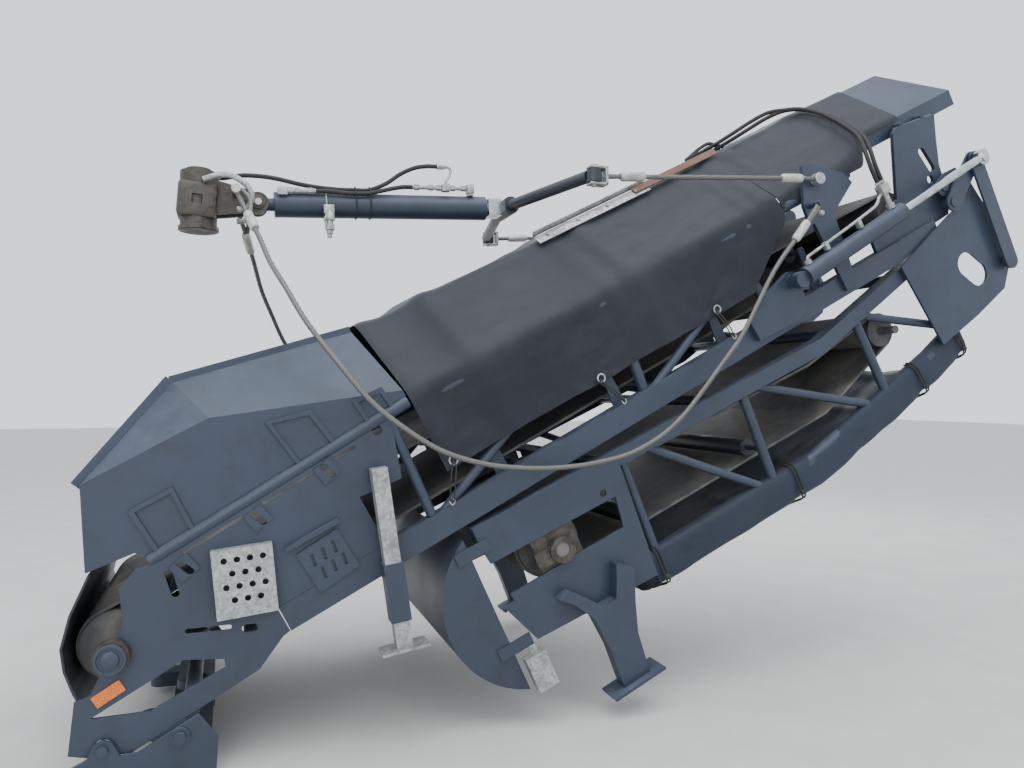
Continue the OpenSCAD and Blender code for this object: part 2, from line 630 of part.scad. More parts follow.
module drive_drum() color(rubber_black) outer() {
  cross_bar(drive_uw.x, drive_uw.y, 0, belt_w + 40, 2 * drive_drum_r);
  cross_bar(drive_uw.x, drive_uw.y, 0, 2 * frame_half + 50, 60);
}

// The hood is D-shaped, with its flat towards the drive plates
hood_uw = [-1780, -329];
module d_shape(r) intersection() {
  translate(hood_uw) circle(r);
  translate([-2300, -800]) square([350, 1000]);
}
module discharge_hood() color(paint) outer() {
  both_sides() {
    plate(-frame_half - 2.2, 8) d_shape(380);
    for (w = [-50, -480]) plate(-frame_half - 10.6, 10) translate([-2010, w - 25]) square([150, 50]);
  }
  plate(0, 2 * frame_half) difference() {
    d_shape(380);
    translate(hood_uw) circle(372);
  }
}

module cover_shell(from, to, low, deep) translate([to, 0, 0]) rotate([0, -90, 0]) rotate([0, 0, -90])
  linear_extrude(to - from) difference() {
    polygon([[-cover_half, -500], [-cover_half, low], [-ridge_half, deep], [ridge_half, deep], [cover_half, low],
      [cover_half, -500]]);
    polygon([[cover_t - cover_half, -499], [cover_t - cover_half, low + 5], [2 - ridge_half, deep + 8],
      [ridge_half - 2, deep + 8], [cover_half - cover_t, low + 5], [cover_half - cover_t, -499]]);
  }
module outer_cover() color(tarp_grey) {
  intersection() {
    outer() cover_shell(-1240, 200, -655, -838);
    outer() rear_side();
  }
  intersection() {
    root_line() cover_shell(-200, root_run - 300, -600, -800);
    root_line() front_side();
  }
}

// Cradle and foot under the drive end
stand_outline = [[-1700, -385], [-1655, -432], [-1600, -528], [-1589, -672], [-1600, -860], [-1470, -860],
  [-1449, -682], [-1405, -557], [-1350, -428], [-1419, -375], [-1448, -440], [-1480, -505], [-1545, -505],
  [-1585, -450], [-1650, -372]];
module support_stands() color(paint) outer() both_sides() {
  plate(-frame_half - 36, 60) polygon(stand_outline);
  plate(-frame_half - 36, 130) polygon([[-1665, -870], [-1410, -870], [-1410, -858], [-1665, -858]]);
}

module work_lamp() color(galvanised) outer() {
  translate([-1930, -frame_half - 62, -680]) cube([90, 50, 150]);
  translate([-1890, -frame_half - 20, -600]) cube([30, 14, 95]);
}

// Jacks on the tail plates
jack_y = frame_half + 45;
jack_low = [-694, -296];
jack_high = [-432, 325];
jack_tilt = atan2(jack_low.x - jack_high.x, jack_high.y - jack_low.y);
module jack_line(s) tail() translate([-575, s * jack_y, -8]) rotate([0, -jack_tilt, 0]) children();
module jack_sleeves() color(paint) for (s = sides) jack_line(s) {
  difference() {
    translate([-38, -38, -220]) cube([76, 76, 220]);
    translate([-30.3, -30.3, -230]) cube([60.6, 60.6, 240]);
  }
  translate([-38, s > 0 ? -44.7 : 37, -60]) cube([76, 7.7, 60]);
}
module jack_leg(s) color(galvanised) jack_line(s) {
  translate([-30, -30, -320]) cube([60, 60, 680]);
  translate([-90, -50, -330]) cube([180, 100, 10]);
}
module jack_leg_near() jack_leg(-1);
module jack_leg_far() jack_leg(1);

module step_plates() color(galvanised) tail() both_sides() translate([-1079, -frame_half - 0.3, 391])
  rotate([0, 25.5, 0]) difference() {
    translate([0, -40, -245]) cube([208, 40, 245]);
    translate([-cut, -37, -242]) cube([210, 38, 239]);
    for (r = [0 : 3]) for (c = [0 : (r % 2 == 0 ? 3 : 2)])
      cross_bar(41 + 44 * c + (r % 2) * 24, -40 - 47 * r, -40, 20, 22);
  }
module vent_plates() color(paint) tail() both_sides() {
  translate([-847, -frame_half - 10.3, 40]) difference() {
    cube([170, 10, 168]);
    for (r = [0, 1]) for (c = [0 : 2]) translate([30 + 44 * c + 8 * r, -cut, 95 - 60 * r]) rotate([0, 12, 0])
      cube([12, 12, 46]);
  }
  flat_bar([-869, -frame_half - 12.3, 247], [-656, -frame_half - 12.3, 232], 24, 16);
}
module reflectors() color(reflector_orange) tail() both_sides() plate(-frame_half - 4.3, 8)
  polygon([[-1642, 182], [-1542, 182], [-1542, 140], [-1642, 140]]);

// Slack safety rope, near side: X, Y, Z
rope_points = [[150, -127.5, 2105], [194, -215, 1995], [235, -330, 1882], [276, -440, 1759], [326, -530, 1655],
  [400, -620, 1510], [512, -680, 1354], [617, -710, 1224], [727, -725, 1130], [878, -735, 1034],
  [1036, -742, 980], [1199, -745, 956], [1370, -745, 952], [1547, -745, 969], [1732, -745, 1018],
  [1924, -745, 1140], [2149, -745, 1393], [2253, -745, 1526], [2416, -742, 1799], [2560, -737, 1975],
  [2663.5, -735, 2111]];
function cat(p, t) =
  let (n = len(p) - 1, i = min(floor(t * n), n - 1), f = t * n - i,
    a = p[max(i - 1, 0)], b = p[i], c = p[i + 1], d = p[min(i + 2, n)])
  0.5 * (2 * b + (c - a) * f + (2 * a - 5 * b + 4 * c - d) * f * f + (3 * b - a - 3 * c + d) * f * f * f);
function unit(v) = v / norm(v);
module swept_rope(points, d, rings, facets) {
  path = [for (i = [0 : rings]) cat(points, i / rings)];
  dirs = [for (i = [0 : rings]) unit(path[min(i + 1, rings)] - path[max(i - 1, 0)])];
  skin = [for (i = [0 : rings]) let (s = unit(cross(dirs[i], [0, 1, 0.001])), u = cross(s, dirs[i]))
    for (k = [0 : facets - 1]) path[i] + d / 2 * (s * cos(360 * k / facets) + u * sin(360 * k / facets))];
  walls = [for (i = [0 : rings - 1]) for (k = [0 : facets - 1])
    [i * facets + k, (i + 1) * facets + k, (i + 1) * facets + (k + 1) % facets, i * facets + (k + 1) % facets]];
  polyhedron(points = skin, faces = concat([[for (k = [0 : facets - 1]) k]], walls,
    [[for (k = [facets - 1 : -1 : 0]) rings * facets + k]]));
}
module safety_rope_near() color(galvanised) swept_rope(rope_points, rope_d, 70, 8);
module safety_rope_far() color(galvanised) swept_rope([for (p = rope_points) [p.x, -p.y, p.z]], rope_d, 70, 8);

slew_yoke();
yoke_arms();
gantry_knuckle();
lift_barrel();
lift_rod();
spreader_beam();
stay_ropes();
safety_rope_near();
safety_rope_far();
tail_frame_near();
tail_frame_far();
tail_bearings();
tail_drum();
tail_guard();
feed_hopper();
inner_rail_near();
inner_rail_far();
upper_frame_near();
upper_frame_far();
inner_cross_members();
cover_hoops();
inner_idlers();
idler_brackets();
inner_belt();
head_roller();
head_frame();
head_deflector();
main_cover();
head_cover();
rope_anchors();
fold_brackets();
step_plates();
vent_plates();
reflectors();
jack_sleeves();
jack_leg_near();
jack_leg_far();
fold_barrels();
fold_rods();
fold_cranks();
fold_couplers();
outer_truss_near();
outer_truss_far();
outer_cross_members();
root_plates();
outer_rollers();
outer_belt();
root_roller();
drive_plates();
take_up_bearings();
drive_drum();
discharge_hood();
outer_cover();
support_stands();
work_lamp();
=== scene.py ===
import json
import math

import bpy
from mathutils import Matrix, Vector, noise


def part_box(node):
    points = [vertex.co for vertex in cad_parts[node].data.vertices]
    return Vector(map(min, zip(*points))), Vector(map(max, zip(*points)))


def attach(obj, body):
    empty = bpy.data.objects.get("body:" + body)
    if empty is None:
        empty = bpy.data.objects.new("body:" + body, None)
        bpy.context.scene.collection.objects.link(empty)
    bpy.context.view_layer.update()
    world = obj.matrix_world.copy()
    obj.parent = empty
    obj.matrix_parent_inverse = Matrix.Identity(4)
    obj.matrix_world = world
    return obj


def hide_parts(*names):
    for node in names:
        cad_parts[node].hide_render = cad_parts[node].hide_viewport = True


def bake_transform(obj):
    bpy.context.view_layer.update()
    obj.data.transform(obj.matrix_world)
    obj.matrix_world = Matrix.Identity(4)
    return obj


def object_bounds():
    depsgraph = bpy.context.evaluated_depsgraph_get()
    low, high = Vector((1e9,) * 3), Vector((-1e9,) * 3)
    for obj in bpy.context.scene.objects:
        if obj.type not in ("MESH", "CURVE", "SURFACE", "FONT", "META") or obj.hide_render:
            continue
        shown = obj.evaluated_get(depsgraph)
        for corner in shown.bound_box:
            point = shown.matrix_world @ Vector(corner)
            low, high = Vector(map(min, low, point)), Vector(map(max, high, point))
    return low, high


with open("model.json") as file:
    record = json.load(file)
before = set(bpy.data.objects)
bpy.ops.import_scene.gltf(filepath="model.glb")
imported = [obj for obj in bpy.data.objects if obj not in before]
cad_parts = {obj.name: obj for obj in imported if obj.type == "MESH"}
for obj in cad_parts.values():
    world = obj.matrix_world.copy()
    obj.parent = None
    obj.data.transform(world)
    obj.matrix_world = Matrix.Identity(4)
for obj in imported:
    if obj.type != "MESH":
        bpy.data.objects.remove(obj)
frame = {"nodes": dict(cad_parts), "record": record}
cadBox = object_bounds()

# Lines of the machine, each an origin in X and Z and a slope in degrees, in metres as in the CAD
kink = (1.191, 0.919)


def turned(p, degrees):
    a = math.radians(degrees)
    return (p[0] * math.cos(a) - p[1] * math.sin(a), p[0] * math.sin(a) + p[1] * math.cos(a))


def onLine(origin, degrees, u, w):
    q = turned((u, w), degrees)
    return (origin[0] + q[0], origin[1] + q[1])


foldPin = onLine(kink, 27.5, 2.696, 0.145)
bendPoint = onLine(foldPin, 36.2, -1.085, -0.220)
lines = {
    "rail": (kink, 27.5),
    "root": (bendPoint, 36.2),
    "outer": (bendPoint, 24.7),
    "lift": ((0.242, 2.082), math.degrees(math.atan2(0.068, 1.070))),
    "fold": ((2.563985, 1.76366), math.degrees(math.atan2(0.674, 1.121))),
}


def place(line, u, y, w):
    # a point in metres, along, across and above one of the machine's lines
    x, z = onLine(*lines[line], u, w)
    return Vector((x, y, z))


def lineMatrix(line, u, y, w):
    # a frame with X along the line and Z above it
    turn = Matrix.Rotation(-math.radians(lines[line][1]), 4, "Y")
    return Matrix.Translation(place(line, u, y, w)) @ turn


camera = {"place": (0.123, -3.611, 1.250), "forward": (0.342, 0.940, 0.0115), "lens": 27.42, "sensor": 36}
bpy.ops.object.select_all(action="DESELECT")
bpy.ops.object.camera_add(location=camera["place"])
cam = bpy.context.object
cam.rotation_euler = Vector(camera["forward"]).to_track_quat("-Z", "Y").to_euler()
cam.data.lens = camera["lens"]
cam.data.sensor_width = camera["sensor"]
bpy.context.scene.camera = cam


def selectOnly(obj):
    bpy.ops.object.select_all(action="DESELECT")
    obj.select_set(True)
    bpy.context.view_layer.objects.active = obj


def finishPiece(obj, name, body, material, smooth=True):
    # names a piece, bakes its place into its mesh and ties it to its body, if it has one
    obj.name = name
    obj.data.name = name
    obj.data.transform(obj.matrix_world)
    obj.matrix_world = Matrix.Identity(4)
    obj.data.materials.clear()
    obj.data.materials.append(material)
    if smooth:
        selectOnly(obj)
        bpy.ops.object.shade_smooth_by_angle(angle=math.radians(35))
    if body:
        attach(obj, body)
    return obj


def smoothAll(obj):
    obj.data.polygons.foreach_set("use_smooth", [True] * len(obj.data.polygons))


def meshObject(name, verts, faces, uvs):
    # a mesh from its points and faces, with one UV for each corner of each face
    mesh = bpy.data.meshes.new(name)
    mesh.from_pydata([tuple(v) for v in verts], [], faces)
    mesh.update()
    obj = bpy.data.objects.new(name, mesh)
    bpy.context.collection.objects.link(obj)
    layer = mesh.uv_layers.new(name="UVMap")
    for loop, uv in zip(layer.data, uvs):
        loop.uv = uv
    return obj


def smoothRoute(points, steps):
    # a Catmull-Rom curve through the points, as the CAD sweeps them
    out = []
    n = len(points) - 1
    for i in range(n):
        a, b, c, d = points[max(i - 1, 0)], points[i], points[i + 1], points[min(i + 2, n)]
        for k in range(steps):
            f = k / steps
            square = (2 * a - 5 * b + 4 * c - d) * f * f
            cube = (3 * b - a - 3 * c + d) * f**3
            out.append(0.5 * (2 * b + (c - a) * f + square + cube))
    out.append(points[-1].copy())
    return out


def routeLength(route):
    return sum((b - a).length for a, b in zip(route, route[1:]))


def sweptTube(name, route, diameter, sides, strands=0, twist=0.0, depth=0.0):
    # a tube along a route, with U round it and V along it in metres; strands stand out and twist
    verts, faces, uvs = [], [], []
    n = len(route)
    tangent = [(route[min(i + 1, n - 1)] - route[max(i - 1, 0)]).normalized() for i in range(n)]
    side = tangent[0].cross(Vector((0, 0, 1)))
    if side.length < 0.01:
        side = tangent[0].cross(Vector((0, 1, 0)))
    side.normalize()
    along = 0.0
    lengths = []
    for i in range(n):
        if i:
            along += (route[i] - route[i - 1]).length
        side = (side - tangent[i] * side.dot(tangent[i])).normalized()
        up = tangent[i].cross(side)
        lengths.append(along)
        for k in range(sides):
            a = 2 * math.pi * k / sides
            r = diameter / 2
            if strands:
                r -= depth * (0.5 - 0.5 * math.cos(strands * (a - twist * along)))
            verts.append(route[i] + side * math.cos(a) * r + up * math.sin(a) * r)
    for i in range(n - 1):
        for k in range(sides):
            j = (k + 1) % sides
            faces.append((i * sides + k, i * sides + j, (i + 1) * sides + j, (i + 1) * sides + k))
            u0, u1 = k / sides, (k + 1) / sides
            uvs += [(u0, lengths[i]), (u1, lengths[i]), (u1, lengths[i + 1]), (u0, lengths[i + 1])]
    # a cap on each end
    faces.append(tuple(range(sides - 1, -1, -1)))
    faces.append(tuple((n - 1) * sides + k for k in range(sides)))
    uvs += [(k / sides, 0) for k in range(sides - 1, -1, -1)]
    uvs += [(k / sides, along) for k in range(sides)]
    return meshObject(name, verts, faces, uvs)


ropes = {
    "diameter": 0.022,
    "twist": 46.0,
    "depth": 0.0032,
    "route": [  # in millimetres
        (150, -127.5, 2105), (194, -215, 1995), (235, -330, 1882), (276, -440, 1759), (326, -530, 1655),
        (400, -620, 1510), (512, -680, 1354), (617, -710, 1224), (727, -725, 1130), (878, -735, 1034),
        (1036, -742, 980), (1199, -745, 956), (1370, -745, 952), (1547, -745, 969), (1732, -745, 1018),
        (1924, -745, 1140), (2149, -745, 1393), (2253, -745, 1526), (2416, -742, 1799), (2560, -737, 1975),
        (2663.5, -735, 2111),
    ],
}
ropeObjects = {}
for side, name in ((1, "near"), (-1, "far")):
    points = [Vector((x, y * side, z)) / 1000 for x, y, z in ropes["route"]]
    route = smoothRoute(points, 24)
    rope = sweptTube("wireRope_" + name, route, ropes["diameter"], 36, 6, ropes["twist"], ropes["depth"])
    ropeObjects[name] = (rope, route)
print("camera and ropes stand")


def linear(hexText):
    out = []
    for i in (0, 2, 4):
        c = int(hexText[i : i + 2], 16) / 255
        out.append(c / 12.92 if c <= 0.04045 else ((c + 0.055) / 1.055) ** 2.4)
    return (*out, 1.0)


def plug(node, inputs):
    # an input is a socket to link from or a plain value
    for key, value in inputs.items():
        if isinstance(value, bpy.types.NodeSocket):
            node.id_data.links.new(value, node.inputs[key])
        else:
            node.inputs[key].default_value = value


def addNode(material, kind, inputs=None, out=0, **settings):
    # adds one node and gives back one of its outputs
    node = material.node_tree.nodes.new("ShaderNode" + kind)
    for key, value in settings.items():
        setattr(node, key, value)
    plug(node, inputs or {})
    return node.outputs[out]


def newMaterial(name, roughness=0.5, metallic=0.0):
    material = bpy.data.materials.new(name)
    material.use_nodes = True
    shader = material.node_tree.nodes["Principled BSDF"]
    plug(shader, {"Roughness": roughness, "Metallic": metallic})
    return material, shader


def coloured(material, base, *coats):
    # lays each coat's colour over the last by its share
    for share, colour in coats:
        base = addNode(material, "Mix", {0: share, 6: base, 7: linear(colour)}, 2, data_type="RGBA")
    return base


def patches(material, where, scale, detail, rough, low, high, most=1.0, distortion=0.0):
    # cloudy patches: nothing under one level of a noise, growing to the most above another
    noisy = {"Vector": where, "Scale": scale, "Detail": detail, "Roughness": rough, "Distortion": distortion}
    cloud = addNode(material, "TexNoise", noisy)
    return addNode(material, "MapRange", {0: cloud, 1: low, 2: high, 4: most})


def upFacing(material, low, high):
    # how far a surface looks at the sky, for dust that settles
    normal = addNode(material, "NewGeometry", out="Normal")
    upright = addNode(material, "SeparateXYZ", {0: normal}, 2)
    return addNode(material, "MapRange", {0: upright, 1: low, 2: high})


def paintedSteel(name, main, deep, chip="7d8188", roughness=0.42, dust="8d8a84", dustiness=0.5):
    # sprayed machine enamel on welded steel: slightly orange-peeled, dusty on top, thin chips on corners
    m, shader = newMaterial(name, roughness)
    where = addNode(m, "TexCoord", out="Object")
    cloud = addNode(m, "TexNoise", {"Vector": where, "Scale": 2.6, "Detail": 5, "Roughness": 0.6})
    faded = addNode(m, "MapRange", {0: cloud, 1: 0.35, 2: 0.68})
    grime = patches(m, where, 9.0, 6, 0.65, 0.52, 0.74, 0.5, 0.3)
    patchy = patches(m, where, 5.0, 6, 0.7, 0.35, 0.7)
    settle = addNode(m, "Math", {0: upFacing(m, 0.25, 0.95), 1: patchy}, operation="MULTIPLY")
    settle = addNode(m, "Math", {0: settle, 1: dustiness}, operation="MULTIPLY")
    stretched = addNode(m, "Mapping", {"Vector": where, "Scale": (9, 9, 90)})
    scratch = patches(m, stretched, 1.0, 4, 0.6, 0.735, 0.76)
    speck = patches(m, where, 60, 4, 0.7, 0.735, 0.77)
    wear = addNode(m, "Math", {0: scratch, 1: speck}, operation="MAXIMUM")
    wear = addNode(m, "Math", {0: wear, 1: 0.6}, operation="MULTIPLY")
    base = coloured(m, linear(main), (faded, deep), (grime, "26272a"), (settle, dust), (wear, chip))
    rough = addNode(m, "MapRange", {0: cloud, 1: 0.3, 2: 0.7, 3: roughness - 0.07, 4: roughness + 0.08})
    rough = addNode(m, "Math", {0: rough, 1: settle})
    # orange peel of about 2.5 mm, and the plate's waves of about 70 mm
    peel = addNode(m, "TexNoise", {"Vector": where, "Scale": 420, "Detail": 2, "Roughness": 0.5})
    relief = addNode(m, "Bump", {"Height": peel, "Strength": 0.05, "Distance": 0.001})
    waves = addNode(m, "TexNoise", {"Vector": where, "Scale": 14, "Detail": 2, "Roughness": 0.5})
    relief = addNode(m, "Bump", {"Height": waves, "Strength": 0.12, "Distance": 0.004, "Normal": relief})
    plug(shader, {"Base Color": base, "Roughness": rough, "Normal": relief})
    return m


def coatedTarpaulin(name, main, faded, dustColour, dustAmount):
    # PVC-coated polyester, years in the sun: matt, a faint weave of about 1.5 mm drawn at 3 mm, rubbed dust
    m, shader = newMaterial(name, 0.62)
    where = addNode(m, "TexCoord", out="UV")
    space = addNode(m, "TexCoord", out="Object")
    sunned = patches(m, space, 1.9, 6, 0.62, 0.36, 0.66, 1.0, 0.4)
    streaked = addNode(m, "Mapping", {"Vector": where, "Scale": (2.2, 9.0, 1)})
    streaks = patches(m, streaked, 1.4, 7, 0.72, 0.5, 0.78, dustAmount, 0.6)
    rubbed = patches(m, where, 7.0, 8, 0.8, 0.6, 0.72, 0.35, 1.2)
    dark = patches(m, space, 3.1, 5, 0.6, 0.62, 0.75, 0.5, 0.8)
    pale = addNode(m, "Math", {0: upFacing(m, 0.35, 1.0), 1: 0.42}, operation="MULTIPLY")
    coats = ((sunned, faded), (streaks, dustColour), (rubbed, "3c3b40"), (dark, "1a191b"), (pale, "32353e"))
    base = coloured(m, linear(main), *coats)
    rough = addNode(m, "MapRange", {0: streaks, 1: 0, 2: dustAmount, 3: 0.5, 4: 0.78})
    threads = {"Vector": where, "Scale": 110, "Distortion": 0.3}
    warp = addNode(m, "TexWave", threads, "Fac", bands_direction="X")
    weft = addNode(m, "TexWave", threads, "Fac", bands_direction="Y")
    weave = addNode(m, "Math", {0: warp, 1: weft})
    relief = addNode(m, "Bump", {"Height": weave, "Strength": 0.12, "Distance": 0.0006})
    wrinkled = {"Vector": where, "Scale": 12, "Detail": 5, "Roughness": 0.6, "Distortion": 1.5}
    creases = addNode(m, "TexNoise", wrinkled)
    relief = addNode(m, "Bump", {"Height": creases, "Strength": 0.25, "Distance": 0.006, "Normal": relief})
    plug(shader, {"Base Color": base, "Roughness": rough, "Normal": relief})
    plug(shader, {"Sheen Weight": 0.03, "Specular IOR Level": 0.22})
    return m


def dustyRubber(name, colour, dust, amount):
    # vulcanised rubber, greyed by milled asphalt dust, with a grain of about 6 mm
    m, shader = newMaterial(name, 0.7)
    where = addNode(m, "TexCoord", out="Object")
    noisy = {"Vector": where, "Scale": 5, "Detail": 7, "Roughness": 0.65, "Distortion": 0.3}
    cloud = addNode(m, "TexNoise", noisy)
    dusty = addNode(m, "MapRange", {0: cloud, 1: 0.4, 2: 0.72, 4: amount})
    rough = addNode(m, "MapRange", {0: cloud, 1: 0.3, 2: 0.7, 3: 0.6, 4: 0.88})
    grain = addNode(m, "TexNoise", {"Vector": where, "Scale": 160, "Detail": 5, "Roughness": 0.7})
    relief = addNode(m, "Bump", {"Height": grain, "Strength": 0.35, "Distance": 0.002})
    base = coloured(m, linear(colour), (dusty, dust))
    plug(shader, {"Base Color": base, "Roughness": rough, "Normal": relief})
    return m


def zincedSteel(name, bright="b9bcbb", dull="85898a", roughness=0.5, metallic=0.55):
    # hot-dip galvanised: spangle of about 12 mm, dulled to a pale grey
    m, shader = newMaterial(name, roughness, metallic)
    where = addNode(m, "TexCoord", out="Object")
    spangle = addNode(m, "TexVoronoi", {"Vector": where, "Scale": 85}, "Color")
    grey = addNode(m, "RGBToBW", {0: spangle})
    stain = patches(m, where, 12, 6, 0.7, 0.5, 0.72, 0.55)
    base = coloured(m, linear(bright), (grey, dull), (stain, "5f5a54"))
    rough = addNode(m, "MapRange", {0: grey, 1: 0, 2: 1, 3: roughness - 0.1, 4: roughness + 0.12})
    relief = addNode(m, "Bump", {"Height": stain, "Strength": 0.15, "Distance": 0.001})
    plug(shader, {"Base Color": base, "Roughness": rough, "Normal": relief})
    return m


def chromedRod(name):
    # hard-chromed cylinder rod, ground and wiped, with a thin oil film in patches of about 45 mm
    m, shader = newMaterial(name, 0.16, 1.0)
    where = addNode(m, "TexCoord", out="Object")
    film = addNode(m, "TexNoise", {"Vector": where, "Scale": 22, "Detail": 5, "Roughness": 0.6})
    oiled = addNode(m, "MapRange", {0: film, 1: 0.4, 2: 0.7})
    rough = addNode(m, "MapRange", {0: film, 1: 0.3, 2: 0.7, 3: 0.12, 4: 0.34})
    plug(shader, {"Base Color": coloured(m, linear("c9cccf"), (oiled, "9da1a4")), "Roughness": rough})
    return m


def greasyCasting(name):
    # sand-cast steel under old grease and soil: dark, lumpy at about 40 mm, with wet patches
    m, shader = newMaterial(name, 0.6, 0.2)
    where = addNode(m, "TexCoord", out="Object")
    noisy = {"Vector": where, "Scale": 26, "Detail": 7, "Roughness": 0.7, "Distortion": 0.5}
    lumps = addNode(m, "TexNoise", noisy)
    soiled = addNode(m, "MapRange", {0: lumps, 1: 0.38, 2: 0.66})
    rough = addNode(m, "MapRange", {0: lumps, 1: 0.35, 2: 0.65, 3: 0.3, 4: 0.8})
    relief = addNode(m, "Bump", {"Height": lumps, "Strength": 0.6, "Distance": 0.006})
    base = coloured(m, linear("2a2826"), (soiled, "5a5149"))
    plug(shader, {"Base Color": base, "Roughness": rough, "Normal": relief})
    return m


def prismReflector(name):
    # moulded acrylic reflector: clear orange skin over a prism grid of 4 mm
    m, shader = newMaterial(name, 0.18)
    where = addNode(m, "TexCoord", out="Object")
    prisms = addNode(m, "TexVoronoi", {"Vector": where, "Scale": 240}, "Distance", distance="CHEBYCHEV")
    deeper = addNode(m, "MapRange", {0: prisms, 1: 0.1, 2: 0.6})
    relief = addNode(m, "Bump", {"Height": prisms, "Strength": 0.4, "Distance": 0.001})
    base = coloured(m, linear("f08a1c"), (deeper, "c9520a"))
    plug(shader, {"Base Color": base, "Coat Weight": 0.6, "Normal": relief})
    return m


def wireRopeSteel(name):
    # six-strand wire rope: wires of about 1.5 mm drawn at 4 mm, with grease and dust between them
    m, shader = newMaterial(name, 0.48, 0.6)
    uv = addNode(m, "TexCoord", out="UV")
    where = addNode(m, "TexCoord", out="Object")
    around = addNode(m, "SeparateXYZ", {0: uv}, 0)
    along = addNode(m, "SeparateXYZ", {0: uv}, 1)
    around = addNode(m, "Math", {0: around, 1: 90.0}, operation="MULTIPLY")
    along = addNode(m, "Math", {0: along, 1: 620.0}, operation="MULTIPLY")
    wires = addNode(m, "Math", {0: addNode(m, "Math", {0: around, 1: along})}, operation="SINE")
    height = addNode(m, "MapRange", {0: wires, 1: -1, 2: 1})
    soil = patches(m, where, 30, 5, 0.6, 0.4, 0.7)
    soil = addNode(m, "Math", {0: soil, 1: 0.5}, operation="MULTIPLY")
    relief = addNode(m, "Bump", {"Height": height, "Strength": 0.5, "Distance": 0.001})
    base = coloured(m, linear("3d3c3a"), (height, "8b8c89"), (soil, "6a655d"))
    plug(shader, {"Base Color": base, "Normal": relief})
    return m


slatePaint = paintedSteel("slateBlueEnamel", "303949", "293140", chip="565b65", dust="646d7c", dustiness=0.6)
darkPaint = paintedSteel("darkGreyEnamel", "282c35", "20242b", chip="4a4d54", dust="55544f")
tarp = coatedTarpaulin("fadedTarpaulin", "20222a", "2a2c33", "3e3d40", 0.4)
tarpLow = coatedTarpaulin("paintedTarpaulin", "2c3442", "272e3b", "44423f", 0.3)
rubber = dustyRubber("beltRubber", "4a4b4d", "8a857c", 0.8)
hoseRubber = dustyRubber("hoseRubber", "1b1b1d", "4a4744", 0.45)
aluminium = zincedSteel("swagedAluminium", "c6c5bf", "a09f99", 0.45, 0.35)
zinc = zincedSteel("galvanisedSteel")
chrome = chromedRod("chromedRod")
casting = greasyCasting("greasyCasting")
reflectorSkin = prismReflector("orangeReflector")
ropeSteel = wireRopeSteel("wireRopeSteel")
rustyStrip = paintedSteel("rustyStrip", "6e5044", "553a30", roughness=0.75, dust="8f7566")

slotMaterials = {
    "slate_blue_paint": slatePaint,
    "dark_grey_paint": darkPaint,
    "grey_tarpaulin": tarp,
    "black_rubber": rubber,
    "galvanised_steel": zinc,
    "chromed_steel": chrome,
    "cast_iron": casting,
    "orange_reflector": reflectorSkin,
}
for row in frame["record"]["subparts"]:
    node = frame["nodes"][row["node"]]
    node.data.materials.clear()
    node.data.materials.append(slotMaterials[row["material_slot"]])
print("materials are on the CAD nodes")

for name, (rope, route) in ropeObjects.items():
    finishPiece(rope, rope.name, "inner", ropeSteel, smooth=False)
    smoothAll(rope)
    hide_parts("safety_rope_" + name)


def roundedLine(corners, radius, step):
    # a line across the cover, its corners turned to arcs, as points about one step apart
    pts = [Vector(corners[0])]
    for i in range(1, len(corners) - 1):
        p, a, b = Vector(corners[i]), Vector(corners[i - 1]), Vector(corners[i + 1])
        da, db = (a - p).normalized(), (b - p).normalized()
        start, end = p + da * radius, p + db * radius
        for k in range(7):
            f = k / 6
            pts.append(start.lerp(p, f).lerp(p.lerp(end, f), f))
    pts.append(Vector(corners[-1]))
    out = [pts[0]]
    left = step
    for a, b in zip(pts, pts[1:]):
        span = (b - a).length
        while left <= span:
            out.append(a.lerp(b, left / span))
            left += step
        left -= span
    if (out[-1] - pts[-1]).length > step * 0.3:
        out.append(pts[-1])
    else:
        out[-1] = pts[-1]
    return out


def evenLine(corners, radius, count):
    # the rounded line as a set number of evenly spaced points
    pts = roundedLine(corners, radius, 0.003)
    lengths = [0.0]
    for a, b in zip(pts, pts[1:]):
        lengths.append(lengths[-1] + (b - a).length)
    out, k = [], 0
    for i in range(count):
        want = lengths[-1] * i / (count - 1)
        while k < len(pts) - 2 and lengths[k + 1] < want:
            k += 1
        share = (want - lengths[k]) / (lengths[k + 1] - lengths[k])
        out.append(pts[k].lerp(pts[k + 1], min(1.0, share)))
    return out, lengths[-1]


def normalsOf(line):
    out = []
    for i in range(len(line)):
        d = line[min(i + 1, len(line) - 1)] - line[max(i - 1, 0)]
        out.append(Vector((-d.y, d.x)).normalized())
    return out


def stationsOf(cover):
    start, run, steps = cover["from"], cover["to"] - cover["from"], cover["steps"]
    return [start + run * j / steps for j in range(steps + 1)]


def clothGrid(name, grid, width, along, thickness=0.003):
    # grid[i][j] is a point across and along the sheet; its UV is in metres
    verts = [p for row in grid for p in row]
    count, row = len(grid), len(along)
    across = [width * i / (count - 1) for i in range(count)]
    faces, uvs = [], []
    for i in range(count - 1):
        for j in range(row - 1):
            faces.append((i * row + j, i * row + j + 1, (i + 1) * row + j + 1, (i + 1) * row + j))
            for a, b in ((j, i), (j + 1, i), (j + 1, i + 1), (j, i + 1)):
                uvs.append((along[a], across[b]))
    obj = meshObject(name, verts, faces, uvs)
    solid = obj.modifiers.new("thickness", "SOLIDIFY")
    solid.thickness = thickness
    solid.offset = 0
    selectOnly(obj)
    bpy.ops.object.modifier_apply(modifier=solid.name)
    return obj


def bump(x, centre, width):
    return math.exp(-(((x - centre) / width) ** 2))


def smoothStep(x, start, span):
    t = min(1.0, max(0.0, (x - start) / span))
    return t * t * (3 - 2 * t)


